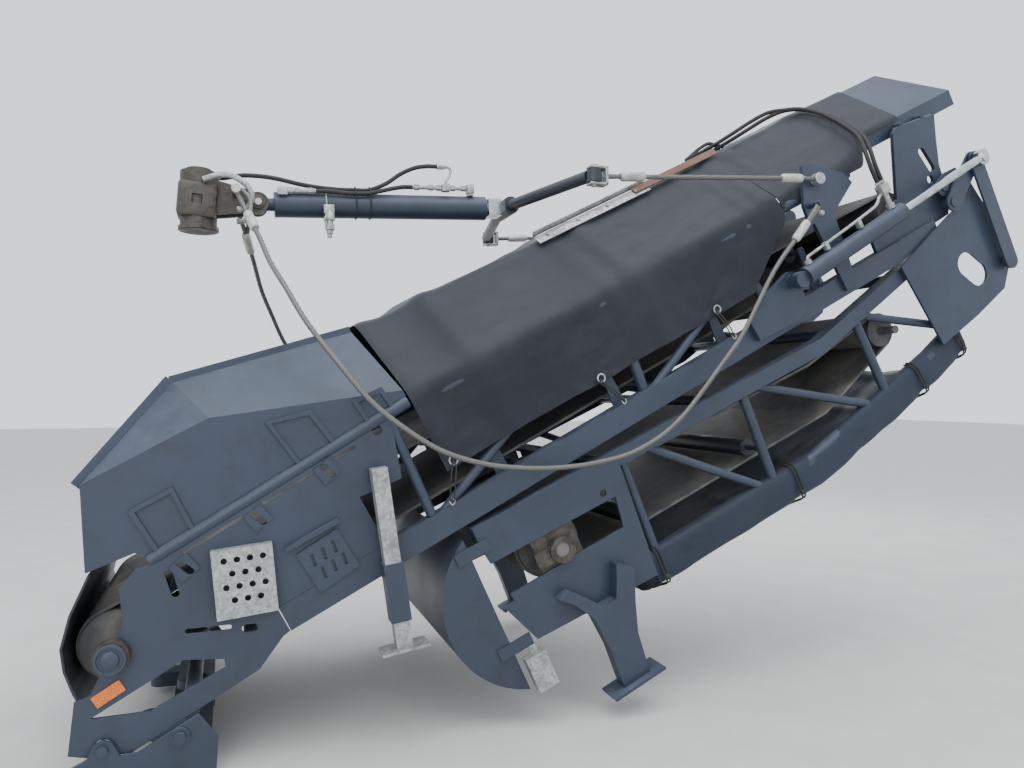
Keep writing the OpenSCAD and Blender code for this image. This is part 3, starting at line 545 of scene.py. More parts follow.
mainCover = {
    "from": -0.220,
    "to": 1.745,
    "corners": [
        (-0.641, 0.140), (-0.641, 0.479), (-0.299, 0.801), (0.299, 0.801), (0.641, 0.479), (0.641, 0.140),
    ],
    "radius": 0.05,
    "count": 112,  # points across
    "steps": 98,  # steps along
    "hoops": (-0.2, 0.1, 0.9, 1.7),
    "topSag": 0.022,
    "slopeSag": 0.012,
    "sideSag": 0.010,
    "onHoop": 0.011,  # how far the cloth stands off over a hoop
    "eyelets": ((-0.183, 0.167), (0.542, 0.163), (1.196, 0.172)),
    "slant": 0.31,  # how far the front edge goes back at the hem
    "slantFrom": 0.388,
    "slantHeight": 0.233,
    "cutWidth": 0.13,
    "length": 1.965,
}


def spanSag(u, hoops):
    # 0 over a hoop and 1 half way between two
    for a, b in zip(hoops, hoops[1:]):
        if a <= u <= b:
            return math.sin(math.pi * (u - a) / (b - a)) ** 2
    return 0.0


def mainPush(u, s, y, w):
    # how far the cloth stands out of its even line, and how far its hem is lifted
    sag = spanSag(u, mainCover["hoops"])
    side = abs(y) > 0.62
    top = w > 0.78
    out = 0.0
    if top:
        out -= mainCover["topSag"] * sag * (1 - (y / 0.34) ** 2)
    elif side:
        low = (0.48 - w) / 0.34
        out -= mainCover["sideSag"] * sag * math.sin(math.pi * min(1, max(0, low)))
    else:
        out -= mainCover["slopeSag"] * sag * math.sin(math.pi * (w - 0.48) / 0.32)
    p = Vector((u * 2.3, s * 3.1, 1.7))
    out += 0.0065 * noise.noise(p) + 0.0025 * noise.noise(p * 3.7) + 0.001 * noise.noise(p * 9.1)
    lift = 0.0
    if side:
        # creases run out from each eyelet
        for eyeletU, eyeletW in mainCover["eyelets"]:
            du, dw = u - eyeletU, w - eyeletW
            d = math.hypot(du, dw)
            angle = math.atan2(dw, du)
            out += 0.006 * math.exp(-d / 0.16) * math.cos(7 * angle + 3 * d / 0.1) * min(1, d / 0.03)
            out -= 0.008 * bump(d, 0, 0.05)
        hem = max(0, 1 - (w - 0.14) / 0.10)
        near = min(abs(u - eyeletU) for eyeletU, eyeletW in mainCover["eyelets"])
        ripple = 0.004 * noise.noise(Vector((u * 5, y, 3.3)))
        lift += hem * (0.010 * (1 - math.exp(-near / 0.18)) + ripple)
        out += hem * 0.006 * noise.noise(Vector((u * 7.0, y * 2, 8.1)))
    # upright folds where the front edge is gathered
    front = max(0.0, (u - 1.38) / 0.36)
    if not top:
        height = 0.35 + 0.65 * (1 - abs(w - 0.42) / 0.4)
        out += 0.011 * front * math.sin((u - 1.38) * 62 + 2.2 * w) * height
    middle = bump(u, 0.78, 0.2) * (1 if side else 0.4)
    out += 0.004 * middle * math.sin((u - 0.5) * 44 + 5 * w)
    # over a hoop the cloth lies on the steel
    hoop = max(bump(u, spot, 0.05) for spot in mainCover["hoops"])
    out += hoop * (mainCover["onHoop"] - min(out, mainCover["onHoop"]))
    return out, lift


def mainFront(w):
    # the front edge slants back towards the hem
    share = min(1.0, max(0.0, (mainCover["slantFrom"] - w) / mainCover["slantHeight"]))
    return mainCover["to"] - mainCover["slant"] * share


crossLine, crossLength = evenLine(mainCover["corners"], mainCover["radius"], mainCover["count"])
stations = stationsOf(mainCover)
grid = []
for i, (p, normal) in enumerate(zip(crossLine, normalsOf(crossLine))):
    s = crossLength * i / (len(crossLine) - 1)
    row = []
    for u in stations:
        share = (u - mainCover["from"]) / (mainCover["to"] - mainCover["from"])
        uu = mainCover["from"] + share * (mainFront(p.y) - mainCover["from"])
        out, lift = mainPush(uu, s, p.x, p.y)
        q = p + normal * out
        row.append(place("rail", uu, q.x, q.y + lift))
    grid.append(row)
mainTarp = clothGrid("mainTarpaulin", grid, crossLength, stations)
finishPiece(mainTarp, "mainTarpaulin", "inner", tarp)
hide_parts("main_cover")

headCover = {
    "from": 1.752,
    "to": 2.668,
    "rear": [
        (-0.641, 0.425), (-0.641, 0.479), (-0.299, 0.801), (0.299, 0.801), (0.641, 0.479), (0.641, 0.425),
    ],
    "front": [
        (-0.580, 0.545), (-0.577, 0.567), (-0.303, 0.803), (0.303, 0.803), (0.577, 0.567), (0.580, 0.545),
    ],
    "radii": (0.05, 0.018),
    "count": 112,
    "steps": 60,
    "narrowFrom": 2.27,
    "narrowSpan": 0.13,
    "length": 0.916,
}
rearLine, rearLength = evenLine(headCover["rear"], headCover["radii"][0], headCover["count"])
frontLine = evenLine(headCover["front"], headCover["radii"][1], headCover["count"])[0]
rearOut, frontOut = normalsOf(rearLine), normalsOf(frontLine)
stations = stationsOf(headCover)


def headPush(u, s, y, w, step):
    p = Vector((u * 3.1, s * 2.7, 5.2))
    out = 0.006 * noise.noise(p) + 0.003 * noise.noise(p * 3.3) + 0.001 * noise.noise(p * 8.0)
    t = min(1.0, (u - 1.75) / 0.58)
    if w > 0.78:
        out -= 0.016 * math.sin(math.pi * t) * (1 - (y / 0.34) ** 2)
    else:
        out -= 0.010 * math.sin(math.pi * t)
        out += 0.007 * math.sin((u - 1.75) * 40 + 6 * w) * bump(t, 0.1, 0.3)
        # a deep fold where the sheet narrows to the deflector
        out += 0.006 * bump(u, 2.36, 0.05) * math.sin(26 * w + 1.0)
    out += 0.014 * bump(u, 2.37, 0.07)
    return out * (1 - 0.75 * step)


grid = []
for i in range(headCover["count"]):
    s = rearLength * i / (headCover["count"] - 1)
    row = []
    for u in stations:
        t = smoothStep(u, headCover["narrowFrom"], headCover["narrowSpan"])
        p = rearLine[i].lerp(frontLine[i], t)
        normal = rearOut[i].lerp(frontOut[i], t).normalized()
        q = p + normal * headPush(u, s, p.x, p.y, t)
        row.append(place("rail", u, q.x, q.y))
    grid.append(row)
headTarp = clothGrid("headTarpaulin", grid, rearLength, stations)
finishPiece(headTarp, "headTarpaulin", "inner", tarp)
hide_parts("head_cover")

# The outer section's cover: laced round the lower rails and slung under the belt
outerCover = {
    "from": -1.235,
    "to": 0.760,
    "half": 0.6425,
    "drop": 0.118,
    "edge": [(-0.597, 0.036), (-0.628, 0.033)],
    "under": [(-0.40, -0.215), (0, -0.255), (0.40, -0.215)],
    "radius": 0.012,
    "count": 120,
    "steps": 100,
    "straps": (-1.20, -0.40, 0.40, 0.72),
    "length": 1.995,
}


def railDepth(s):
    # the round rail's middle below the chord, behind and ahead of the bend
    if s < -0.283:
        return -0.475
    if s < -0.1:
        return -0.475 + (s + 0.283) / 0.183 * 0.055
    return -0.420 - 0.020 * min(1.0, (s + 0.1) / 0.63) + 0.022 * max(0.0, (s - 0.527) / 0.338)


def outerPlace(s, y, w):
    return place("outer", s, y, w).lerp(place("root", s, y, w), smoothStep(s, -0.34, 0.30))


half, drop = outerCover["half"], outerCover["drop"]
nearSide = outerCover["edge"] + [(-half, 0.012), (-half, -0.03), (-0.630, -drop)]
around = nearSide + outerCover["under"] + [(-y, w) for y, w in reversed(nearSide)]
underLine, underLength = evenLine(around, outerCover["radius"], outerCover["count"])
stations = stationsOf(outerCover)
grid = []
for i, (p, normal) in enumerate(zip(underLine, normalsOf(underLine))):
    onRail = abs(p.x) > 0.59 and p.y > -0.035
    row = []
    for s in stations:
        pull = sum(bump(s, strap, 0.035) for strap in outerCover["straps"])
        n = Vector((s * 3.0, i * 0.08, 9.4))
        out = 0.0
        if not onRail:
            low = min(1.0, (-p.y - 0.03) / 0.08)
            out = low * (0.010 * noise.noise(n) + 0.004 * noise.noise(n * 3.1) + 0.010 * pull - 0.004)
        q = p + normal * out
        y = max(-half - 0.0005, min(half + 0.0005, q.x))
        row.append(outerPlace(s, y, railDepth(s) + q.y))
    grid.append(row)
outerTarp = clothGrid("outerSling", grid, underLength, stations)
finishPiece(outerTarp, "outerSling", "outer", tarpLow)
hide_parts("outer_cover")
print("tarpaulins are laid")

# Tools for the fittings: each part is modelled from a primitive in edit mode
def editStart(obj):
    selectOnly(obj)
    bpy.ops.object.mode_set(mode="EDIT")
    bpy.ops.mesh.select_all(action="SELECT")


def editEnd():
    bpy.ops.mesh.select_all(action="SELECT")
    bpy.ops.mesh.normals_make_consistent(inside=False)
    bpy.ops.object.mode_set(mode="OBJECT")


def turnedPart(start, toward, profile, sides=24):
    # a lathe-turned part: profile holds (distance, radius) from its start to its far face
    start = Vector(start)
    bpy.ops.object.select_all(action="DESELECT")
    bpy.ops.mesh.primitive_circle_add(
        vertices=sides, radius=profile[0][1], fill_type="NGON", location=(0, 0, 0)
    )
    part = bpy.context.object
    editStart(part)
    for (d0, r0), (d1, r1) in zip(profile, profile[1:]):
        bpy.ops.mesh.extrude_region_move(TRANSFORM_OT_translate={"value": (0, 0, d1 - d0)})
        if abs(r1 - r0) > 1e-6:
            bpy.ops.transform.resize(value=(r1 / r0, r1 / r0, 1))
    editEnd()
    aim = (Vector(toward) - start).to_track_quat("Z", "Y").to_matrix().to_4x4()
    part.matrix_world = Matrix.Translation(start) @ aim
    return part


def turnedOn(line, u, y, w, profile, sides=24, rise=0):
    # a turned part that runs along one of the machine's lines, or rises from it
    toward = place(line, u, y, w + rise) if rise else place(line, u + 1, y, w)
    return turnedPart(place(line, u, y, w), toward, profile, sides)


def block(matrix, size, bevel=0.003):
    # a sawn block with its edges broken, its middle at the matrix
    bpy.ops.object.select_all(action="DESELECT")
    bpy.ops.mesh.primitive_cube_add(size=1, location=(0, 0, 0))
    part = bpy.context.object
    editStart(part)
    bpy.ops.transform.resize(value=size)
    bpy.ops.mesh.bevel(offset=min(bevel, min(size) * 0.3), segments=2)
    editEnd()
    part.matrix_world = matrix
    return part


def joined(parts, name, body, material, smooth=True):
    # bakes each part's place into its mesh and makes one piece of them
    for part in parts:
        part.data.transform(part.matrix_world)
        part.matrix_world = Matrix.Identity(4)
    bpy.ops.object.select_all(action="DESELECT")
    for part in parts:
        part.select_set(True)
    bpy.context.view_layer.objects.active = parts[0]
    if len(parts) > 1:
        bpy.ops.object.join()
    return finishPiece(parts[0], name, body, material, smooth)


def joinedZinc(parts, name, body):
    return joined(parts, name, body, zinc)


def pipe(points, diameter, sides=16, steps=8):
    route = smoothRoute([Vector(p) for p in points], steps)
    return sweptTube("pipe", route, diameter, sides)


def ring(centre, radius, diameter, acrossX, acrossY, count, sides=8):
    # a closed ring of round bar in the plane of two directions
    points = []
    for k in range(count + 1):
        a = 2 * math.pi * k / count
        points.append(centre + acrossX * (radius * math.cos(a)) + acrossY * (radius * math.sin(a)))
    return pipe(points, diameter, sides, 2)


def boltHead(spot, outward, size):
    # a washer and a chamfered hexagon head
    spot, outward = Vector(spot), Vector(outward).normalized()
    seat = spot + outward * size * 0.2
    washer = [(0, size * 1.02), (size * 0.16, size * 1.02), (size * 0.2, size * 0.96)]
    hexagon = [(0, size * 0.88), (size * 0.55, size * 0.88), (size * 0.66, size * 0.72)]
    return [
        turnedPart(spot, spot + outward, washer, 18),
        turnedPart(seat, spot + outward, hexagon, 6),
    ]


def pointAlong(route, distance):
    left = distance
    for a, b in zip(route, route[1:]):
        span = (b - a).length
        if left <= span:
            return a.lerp(b, left / span)
        left -= span
    return route[-1].copy()


print("tools for the fittings are ready")

# Wire rope ends: pressed aluminium ferrules, the eyes' second legs and a shackle bow on the knuckle
ropeEnds = {
    "ferruleRadius": 0.020,
    "ferruleLength": 0.115,
    "lowerStart": 0.150,
    "upperStart": 0.10,
    "legDiameter": 0.020,
    "legLean": (0.030, 0, 0.020),
    "lowerLeg": ((0.012, 0.6), (0.085, 1), (0.158, 0.25)),  # metres along the rope, share of the lean
    "upperLeg": ((0.010, 0.5), (0.055, 0.8), (0.112, 0.25)),
    "bow": [
        (0.020, 0.086, 2.150), (0.085, 0.100, 2.172), (0.140, 0.1275, 2.164), (0.196, 0.1275, 2.128),
        (0.214, 0.1275, 2.082), (0.196, 0.1275, 2.036), (0.156, 0.124, 2.026),
    ],
    "bowDiameter": 0.026,
}
for name, (rope, route) in ropeObjects.items():
    side = -1 if name == "near" else 1
    total = routeLength(route)
    r, length = ropeEnds["ferruleRadius"], ropeEnds["ferruleLength"]
    profile = [
        (0, r * 0.72), (0.006, r * 0.94), (0.014, r), (0.101, r), (0.110, r * 0.92), (length, r * 0.66),
    ]
    parts = []
    for start in (ropeEnds["lowerStart"], total - ropeEnds["upperStart"] - length):
        parts.append(turnedPart(pointAlong(route, start), pointAlong(route, start + length), profile))
    joined(parts, "ropeFerrules_" + name, "inner", aluminium)
    # the second leg of each eye lies beside the rope between its pin and its ferrule
    lean = Vector(ropeEnds["legLean"])
    lower = [pointAlong(route, d) + lean * share for d, share in ropeEnds["lowerLeg"]]
    upper = [pointAlong(route, total - d) + lean * share for d, share in ropeEnds["upperLeg"]]
    legs = [pipe(points, ropeEnds["legDiameter"], 12) for points in (lower, upper)]
    joined(legs, "ropeEyes_" + name, "inner", ropeSteel)
    bow = pipe([(x, side * y, z) for x, y, z in ropeEnds["bow"]], ropeEnds["bowDiameter"], 18)
    joinedZinc([bow], "shackleBow_" + name, "root")
print("rope ends are pressed on")

# Stays: wire rope between a fork on the spreader's arm and an eye at the anchor
stays = {
    "start": (1.574, 2.150),
    "end": (2.702, 2.247),
    "y": 0.700,
    "diameter": 0.022,
    "ferrule": [(0, 0.014), (0.006, 0.019), (0.014, 0.0205), (0.104, 0.0205), (0.112, 0.018), (0.118, 0.013)],
    "ferruleInset": (0.072, 0.190),  # from the rope's end to the ferrule's two faces
    "eyeY": 0.692,
    "eyeHalf": 0.022,
    "eye": [(0, 0.024), (0.003, 0.028), (0.041, 0.028), (0.043, 0.026)],
    "cheek": (0.080, 0.050, 0.011),
    "cheekPlace": (-0.015, 0.0343),
    "bridge": (0.013, 0.050, 0.079),
    "bridgeX": 0.019,
    "pinPlace": (-0.030, -0.045),
    "pin": [(0, 0.0105), (0.004, 0.0115), (0.080, 0.0115), (0.081, 0.017), (0.089, 0.017), (0.091, 0.015)],
}
stayParts, ferruleParts, forkParts = [], [], []
sx, sz = stays["start"]
inner, outer = stays["ferruleInset"]
for side in (-1, 1):
    y = side * stays["y"]
    a = Vector((sx + 0.020, y, sz + 0.002))
    b = Vector((stays["end"][0] - 0.024, y, stays["end"][1] - 0.002))
    run = (b - a).normalized()
    route = [a.lerp(b, k / 60) for k in range(61)]
    stayParts.append(sweptTube("stay", route, stays["diameter"], 30, strands=6, twist=44.0, depth=0.003))
    for start in (inner, (b - a).length - outer):
        p = a + run * start
        ferruleParts.append(turnedPart(p, p + run, stays["ferrule"]))
    eye = Vector((stays["end"][0], side * stays["eyeY"], stays["end"][1]))
    forkParts.append(turnedPart(eye + Vector((0, side * stays["eyeHalf"], 0)), eye, stays["eye"], 28))
    # fork: two cheeks, a bridge and a headed pin
    cheekX, cheekZ = stays["cheekPlace"]
    for h in (-1, 1):
        forkParts.append(block(Matrix.Translation((sx + cheekX, y, sz + h * cheekZ)), stays["cheek"], 0.004))
    forkParts.append(block(Matrix.Translation((sx + stays["bridgeX"], y, sz)), stays["bridge"], 0.003))
    pin = Vector((sx + stays["pinPlace"][0], y, sz + stays["pinPlace"][1]))
    forkParts.append(turnedPart(pin, pin + Vector((0, 0, 1)), stays["pin"], 20))
stayRope = joined(stayParts, "stayRopes", "lift_rod", ropeSteel, smooth=False)
smoothAll(stayRope)
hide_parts("stay_ropes")
joined(ferruleParts, "stayFerrules", "lift_rod", aluminium)
joinedZinc(forkParts, "stayForks", "lift_rod")
print("stays are rigged")

# Lift cylinder: hoses, ports, pipes and the coupler hung from its strap, all in the cylinder's line
lift = {
    "hose": 0.020,
    "supply": [
        (-0.150, 0.104), (-0.128, 0.106), (-0.090, 0.113), (-0.049, 0.119), (0.019, 0.117), (0.088, 0.108),
        (0.188, 0.086), (0.270, 0.074), (0.353, 0.0675), (0.427, 0.067), (0.492, 0.069), (0.570, 0.100),
        (0.640, 0.146), (0.710, 0.177), (0.770, 0.187), (0.795, 0.187), (0.8175, 0.187),
    ],
    "link": [
        (0.2485, -0.050, 0.053), (0.272, -0.052, 0.054), (0.320, -0.055, 0.052), (0.375, -0.056, 0.046),
        (0.427, -0.056, 0.045), (0.480, -0.055, 0.047), (0.530, -0.051, 0.058), (0.590, -0.046, 0.073),
        (0.640, -0.042, 0.083), (0.668, -0.040, 0.085), (0.692, -0.040, 0.085),
    ],
    "low": (-0.050, 0.053),  # the steel line from the base port, across and above
    "high": (-0.040, 0.085),  # the steel line to the head port
    "nut": [(0, 0.0125), (0.002, 0.0145), (0.022, 0.0145), (0.024, 0.0125)],
    "lowNuts": (0.126, 0.158, 0.214),
    "highNuts": (0.768, 0.806, 0.874, 0.926),
    "bend": [
        (0.858, -0.034, 0.187), (0.874, -0.034, 0.183), (0.884, -0.035, 0.168),
        (0.872, -0.037, 0.140), (0.856, -0.040, 0.118), (0.852, -0.040, 0.100),
    ],
    "swage": [(0, 0.0125), (0.003, 0.0135), (0.034, 0.0135), (0.036, 0.010), (0.046, 0.010)],
    "tieAt": (0.427, 0.492),
    "tie": [
        (0.058, 0), (0.040, 0.043), (0.004, 0.062), (-0.018, 0.078), (-0.034, 0.081), (-0.050, 0.066),
        (-0.0665, 0.048), (-0.063, 0.018), (-0.060, -0.010), (-0.044, -0.040), (0, -0.0595),
        (0.042, -0.041), (0.058, 0),
    ],
}
supplyPoints = [place("lift", u, -0.030 - 0.004 * max(0.0, (u - 0.43) / 0.39), w) for u, w in lift["supply"]]
linkPoints = [place("lift", *p) for p in lift["link"]]
liftHoses = {}
hosePlans = (("liftSupplyHose", supplyPoints, None), ("liftLinkHose", linkPoints, "lift_barrel"))
for name, points, body in hosePlans:
    route = smoothRoute(points, 10)
    hose = sweptTube(name, route, lift["hose"], 20)
    liftHoses[name] = (finishPiece(hose, name, body, hoseRubber), route)
supplyHose = liftHoses["liftSupplyHose"][0]
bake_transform(supplyHose)

lowY, lowW = lift["low"]
highY, highW = lift["high"]
portSeat, portAim = place("lift", 0.102, -0.034, 0.044), place("lift", 0.102, -0.06, 0.09)
parts = [
    block(lineMatrix("lift", 0.105, lowY, 0.050), (0.042, 0.032, 0.036), 0.004),
    turnedPart(portSeat, portAim, [(0, 0.016), (0.010, 0.016)], 6),
    turnedOn("lift", 0.120, lowY, lowW, [(0, 0.011), (0.128, 0.011)]),
]
valve = [
    block(lineMatrix("lift", 0.973, -0.035, 0.083), (0.034, 0.042, 0.044), 0.004),
    block(lineMatrix("lift", 0.852, highY, highW), (0.040, 0.036, 0.036), 0.004),
    turnedOn("lift", 0.973, -0.035, 0.050, [(0, 0.019), (0.012, 0.019), (0.014, 0.015)], 6, rise=0.15),
    turnedOn("lift", 0.692, highY, highW, [(0, 0.010), (0.268, 0.010)]),
]
parts += [turnedOn("lift", u, lowY, lowW, lift["nut"], 6) for u in lift["lowNuts"]]
valve += [turnedOn("lift", u, highY, highW, lift["nut"], 6) for u in lift["highNuts"]]
# the upper hose ends in a swaged bend that drops to the valve block
elbow = [
    pipe([place("lift", *p) for p in lift["bend"]], 0.013, 14),
    turnedOn("lift", 0.816, -0.034, 0.187, lift["swage"]),
]
union = [turnedOn("lift", 0.700, highY, highW, lift["nut"], 6)]
hoseEnds = {
    "liftSupplyHose": joinedZinc(elbow, "supplyElbow", "lift_barrel"),
    "liftLinkHose": joinedZinc(union, "linkUnion", "lift_barrel"),
}
joinedZinc(valve, "valveLine", "lift_barrel")

# strap round the barrel, its lug and the coupler with its dust cap
strap = {
    "u": 0.292,
    "radius": 0.0595,
    "bar": 0.007,
    "coupler": [
        (0, 0.012), (0.010, 0.020), (0.026, 0.022), (0.040, 0.022), (0.042, 0.015), (0.056, 0.015),
        (0.058, 0.021), (0.082, 0.021), (0.086, 0.014), (0.100, 0.014), (0.103, 0.011), (0.118, 0.010),
    ],
    "chain": [
        (0.004, -0.01, 0.004), (-0.016, -0.014, -0.020), (-0.024, -0.012, -0.046), (-0.012, -0.010, -0.062),
    ],
}
upright = place("lift", 0, 0, 1) - place("lift", 0, 0, 0)
parts.append(
    ring(place("lift", strap["u"], 0, 0), strap["radius"], strap["bar"], Vector((0, 1, 0)), upright, 28)
)
parts.append(block(lineMatrix("lift", 0.300, -0.064, -0.030), (0.046, 0.020, 0.040), 0.004))
hang = place("lift", 0.302, -0.074, -0.042)
parts.append(turnedPart(hang, hang - Vector((0, 0, 1)), strap["coupler"]))
parts.append(pipe([hang + Vector(p) for p in strap["chain"]], 0.010, 10))
joinedZinc(parts, "liftFittings", "lift_barrel")
ties = [pipe([place("lift", u, y, w) for y, w in lift["tie"]], 0.0055, 8, 4) for u in lift["tieAt"]]
joined(ties, "hoseTies", "lift_barrel", hoseRubber)
boss = Vector((0.046, -0.030, 2.176))
bossAim = boss + Vector((1, 0, 0.06))
unionBody = [(0, 0.016), (0.012, 0.016), (0.013, 0.0125), (0.030, 0.0125), (0.042, 0.0115)]
unionNut = turnedPart(boss + Vector((0.010, 0, 0)), bossAim, lift["nut"], 6)
parts = [turnedPart(boss, bossAim, unionBody, 20), unionNut]
joinedZinc(parts, "supplyUnion", "root")
print("lift cylinder is plumbed")

# Knuckle: the forged block round its neck, with the keeper slot sunk in its face
forging = {
    "place": (-0.004, 0, 2.070),
    "tilt": 4,
    "size": (0.158, 0.164, 0.150),
    "slotReach": 0.03,
    # height, up or down, and profile
    "cap": (2.198, 1, [(0, 0.052), (0.004, 0.055), (0.012, 0.055), (0.016, 0.050)]),
    "collar": (1.966, -1, [(0, 0.080), (0.004, 0.083), (0.018, 0.083), (0.022, 0.078)]),
    "eye": (0.242, 0.050, 2.082),
    "eyeProfile": [(0, 0.030), (0.006, 0.030), (0.008, 0.027)],
    "pins": (
        ((0.242, -0.057, 2.082), [(0, 0.014), (0.004, 0.016), (0.008, 0.014)], 20),
        ((0.150, -0.164, 2.105), [(0, 0.018), (0.006, 0.020), (0.012, 0.018)], 24),
    ),
}
seat = Matrix.Translation(forging["place"]) @ Matrix.Rotation(math.radians(forging["tilt"]), 4, "Y")
knuckle = block(seat, forging["size"], 0.016)
editStart(knuckle)
bpy.ops.mesh.subdivide(number_cuts=2)
bpy.ops.mesh.select_mode(type="FACE")
bpy.ops.mesh.select_all(action="DESELECT")
bpy.ops.object.mode_set(mode="OBJECT")
for face in knuckle.data.polygons:
    inReach = abs(face.center.x) < forging["slotReach"] and abs(face.center.z) < forging["slotReach"]
    face.select = face.normal.y < -0.9 and inReach
bpy.ops.object.mode_set(mode="EDIT")
bpy.ops.mesh.inset(thickness=0.006, depth=-0.014)
bpy.ops.mesh.select_mode(type="VERT")
bpy.ops.object.mode_set(mode="OBJECT")
parts = [knuckle]
for height, way, profile in (forging["cap"], forging["collar"]):
    parts.append(turnedPart((0, 0, height), (0, 0, height + way), profile, 32))
for side in (-1, 1):
    x, y, z = forging["eye"]
    start = Vector((x, side * y, z))
    parts.append(turnedPart(start, start + Vector((0, side, 0)), forging["eyeProfile"], 28))
joined(parts, "knuckleForging", "root", casting)
parts = []
for start, profile, sides in forging["pins"]:
    parts.append(turnedPart(start, Vector(start) + Vector((0, -1, 0)), profile, sides))
joined(parts, "knucklePins", "root", aluminium)
print("knuckle is forged")

# Fold cylinders: hose blocks, pipes to the base ports and clamps, in the cylinders' line
foldLine = {
    "y": 0.738,
    "block": (0.647, 0.142),
    "blockSize": (0.052, 0.044, 0.048),
    "riser": [(0, 0.020), (0.020, 0.020), (0.022, 0.014), (0.076, 0.014)],
    "barrelTop": 0.0425,
    "pipe": [
        (0.620, 0.125), (0.604, 0.118), (0.580, 0.100), (0.545, 0.091), (0.400, 0.083),
        (0.240, 0.077), (0.110, 0.073), (0.086, 0.070), (0.078, 0.056), (0.078, 0.045),
    ],
    "port": (0.078, [(0, 0.017), (0.016, 0.017), (0.018, 0.013)]),
    "clamps": (0.205, 0.430),
    "nutAt": [(u, w) for u in (0.633, 0.661) for w in (0.118, 0.166)],
    "nut": [(0, 0.0125), (0.002, 0.0135), (0.016, 0.0135), (0.018, 0.012)],
}
foldSets, pipes = {}, []
for side, name in ((-1, "foldFittingsNear"), (1, "foldFittingsFar")):
    y = side * foldLine["y"]
    blockU, blockW = foldLine["block"]
    parts = [block(lineMatrix("fold", blockU, y, blockW), foldLine["blockSize"], 0.004)]
    pipes.append(turnedOn("fold", blockU, y, foldLine["barrelTop"], foldLine["riser"], 20, rise=1))
    pipes.append(pipe([place("fold", u, y, w) for u, w in foldLine["pipe"]], 0.014, 14))
    portU, portProfile = foldLine["port"]
    pipes.append(turnedOn("fold", portU, y, foldLine["barrelTop"], portProfile, 6, rise=1))
    for u in foldLine["clamps"]:
        pipes.append(block(lineMatrix("fold", u, y, 0.066), (0.020, 0.030, 0.040), 0.003))
    parts += [turnedOn("fold", u, y, w, foldLine["nut"], 6, rise=1) for u, w in foldLine["nutAt"]]
    foldSets[side] = joinedZinc(parts, name, "fold_barrels")

# Hoses over the head from the near cylinder's block to the far one's; the far half mirrors the near
headHoses = {
    "front": [
        (2.2575, -0.738, 0.340), (2.2560, -0.738, 0.372), (2.262, -0.732, 0.420), (2.288, -0.712, 0.478),
        (2.330, -0.672, 0.524), (2.368, -0.626, 0.560), (2.394, -0.566, 0.606), (2.410, -0.486, 0.672),
        (2.408, -0.424, 0.726), (2.382, -0.368, 0.776), (2.338, -0.326, 0.815), (2.272, -0.296, 0.838),
        (2.190, -0.262, 0.842), (2.096, -0.222, 0.832), (2.004, -0.166, 0.820), (1.930, -0.096, 0.812),
        (1.900, 0.0, 0.811),
    ],
    "rear": [
        (2.2295, -0.738, 0.338), (2.2270, -0.738, 0.370), (2.230, -0.734, 0.424), (2.252, -0.716, 0.490),
        (2.292, -0.678, 0.546), (2.330, -0.628, 0.586), (2.356, -0.562, 0.634), (2.370, -0.478, 0.706),
        (2.362, -0.408, 0.766), (2.330, -0.350, 0.812), (2.282, -0.306, 0.840), (2.214, -0.268, 0.864),
        (2.130, -0.230, 0.862), (2.040, -0.190, 0.850), (1.952, -0.136, 0.838), (1.886, -0.072, 0.832),
        (1.862, 0.0, 0.831),
    ],
    "hose": 0.020,
    "blendFrom": (2.30, 0, 0.60),
    "blendTo": (2.25, 0, 0.38),
}
# each hose leaves the other's set of fittings and ends in its own
for name, first, ownSide in (("front", 0, 1), ("rear", -1, -1)):
    nearHalf = headHoses[name]
    whole = nearHalf + [(u, -y, w) for u, y, w in reversed(nearHalf[:-1])]
    points = [place("rail", *p) for p in whole]
    route = smoothRoute(points, 6)
    hose = sweptTube("headHose_" + name, route, headHoses["hose"], 18)
    finishPiece(hose, "headHose_" + name, None, hoseRubber)
    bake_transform(hose)
joinedZinc(pipes, "foldPipes", "fold_barrels")
print("fold cylinders are plumbed")

# Batten on the ridge: a steel angle with a rusty strip lapped on its front end
batten = {
    "from": 0.690,
    "join": 1.330,
    "to": 1.770,
    "y": -0.335,
    "w": 0.792,
    "lean": 43,
    "plate": (0.050, 0.005),
    "upstand": (0.005, 0.030),
    "strip": (0.046, 0.006),
    "lap": 0.08,
    "edge": 0.0015,
    "boltFrom": 0.06,
    "boltPitch": 0.17,
    "bolts": 4,
}
y, w = batten["y"], batten["w"]
seat = Matrix.Rotation(math.radians(batten["lean"]), 4, "X")
middle = (batten["from"] + batten["join"]) / 2
run = batten["join"] - batten["from"]
parts = [
    block(lineMatrix("rail", middle, y, w) @ seat, (run, *batten["plate"]), batten["edge"]),
    block(lineMatrix("rail", middle, y + 0.020, w + 0.034) @ seat, (run, *batten["upstand"]), batten["edge"]),
]
for k in range(batten["bolts"]):
    u = batten["from"] + batten["boltFrom"] + batten["boltPitch"] * k
    parts += boltHead(place("rail", u, y, w + 0.004), (0, -0.66, 0.75), 0.009)
joinedZinc(parts, "ridgeBatten", "inner")
middle = (batten["join"] + batten["to"]) / 2 - batten["lap"] / 2
run = batten["to"] - batten["join"] + batten["lap"]
strip = block(
    lineMatrix("rail", middle, y + 0.004, w + 0.014) @ seat, (run, *batten["strip"]), batten["edge"]
)
joined([strip], "ridgeStrip", "inner", rustyStrip)

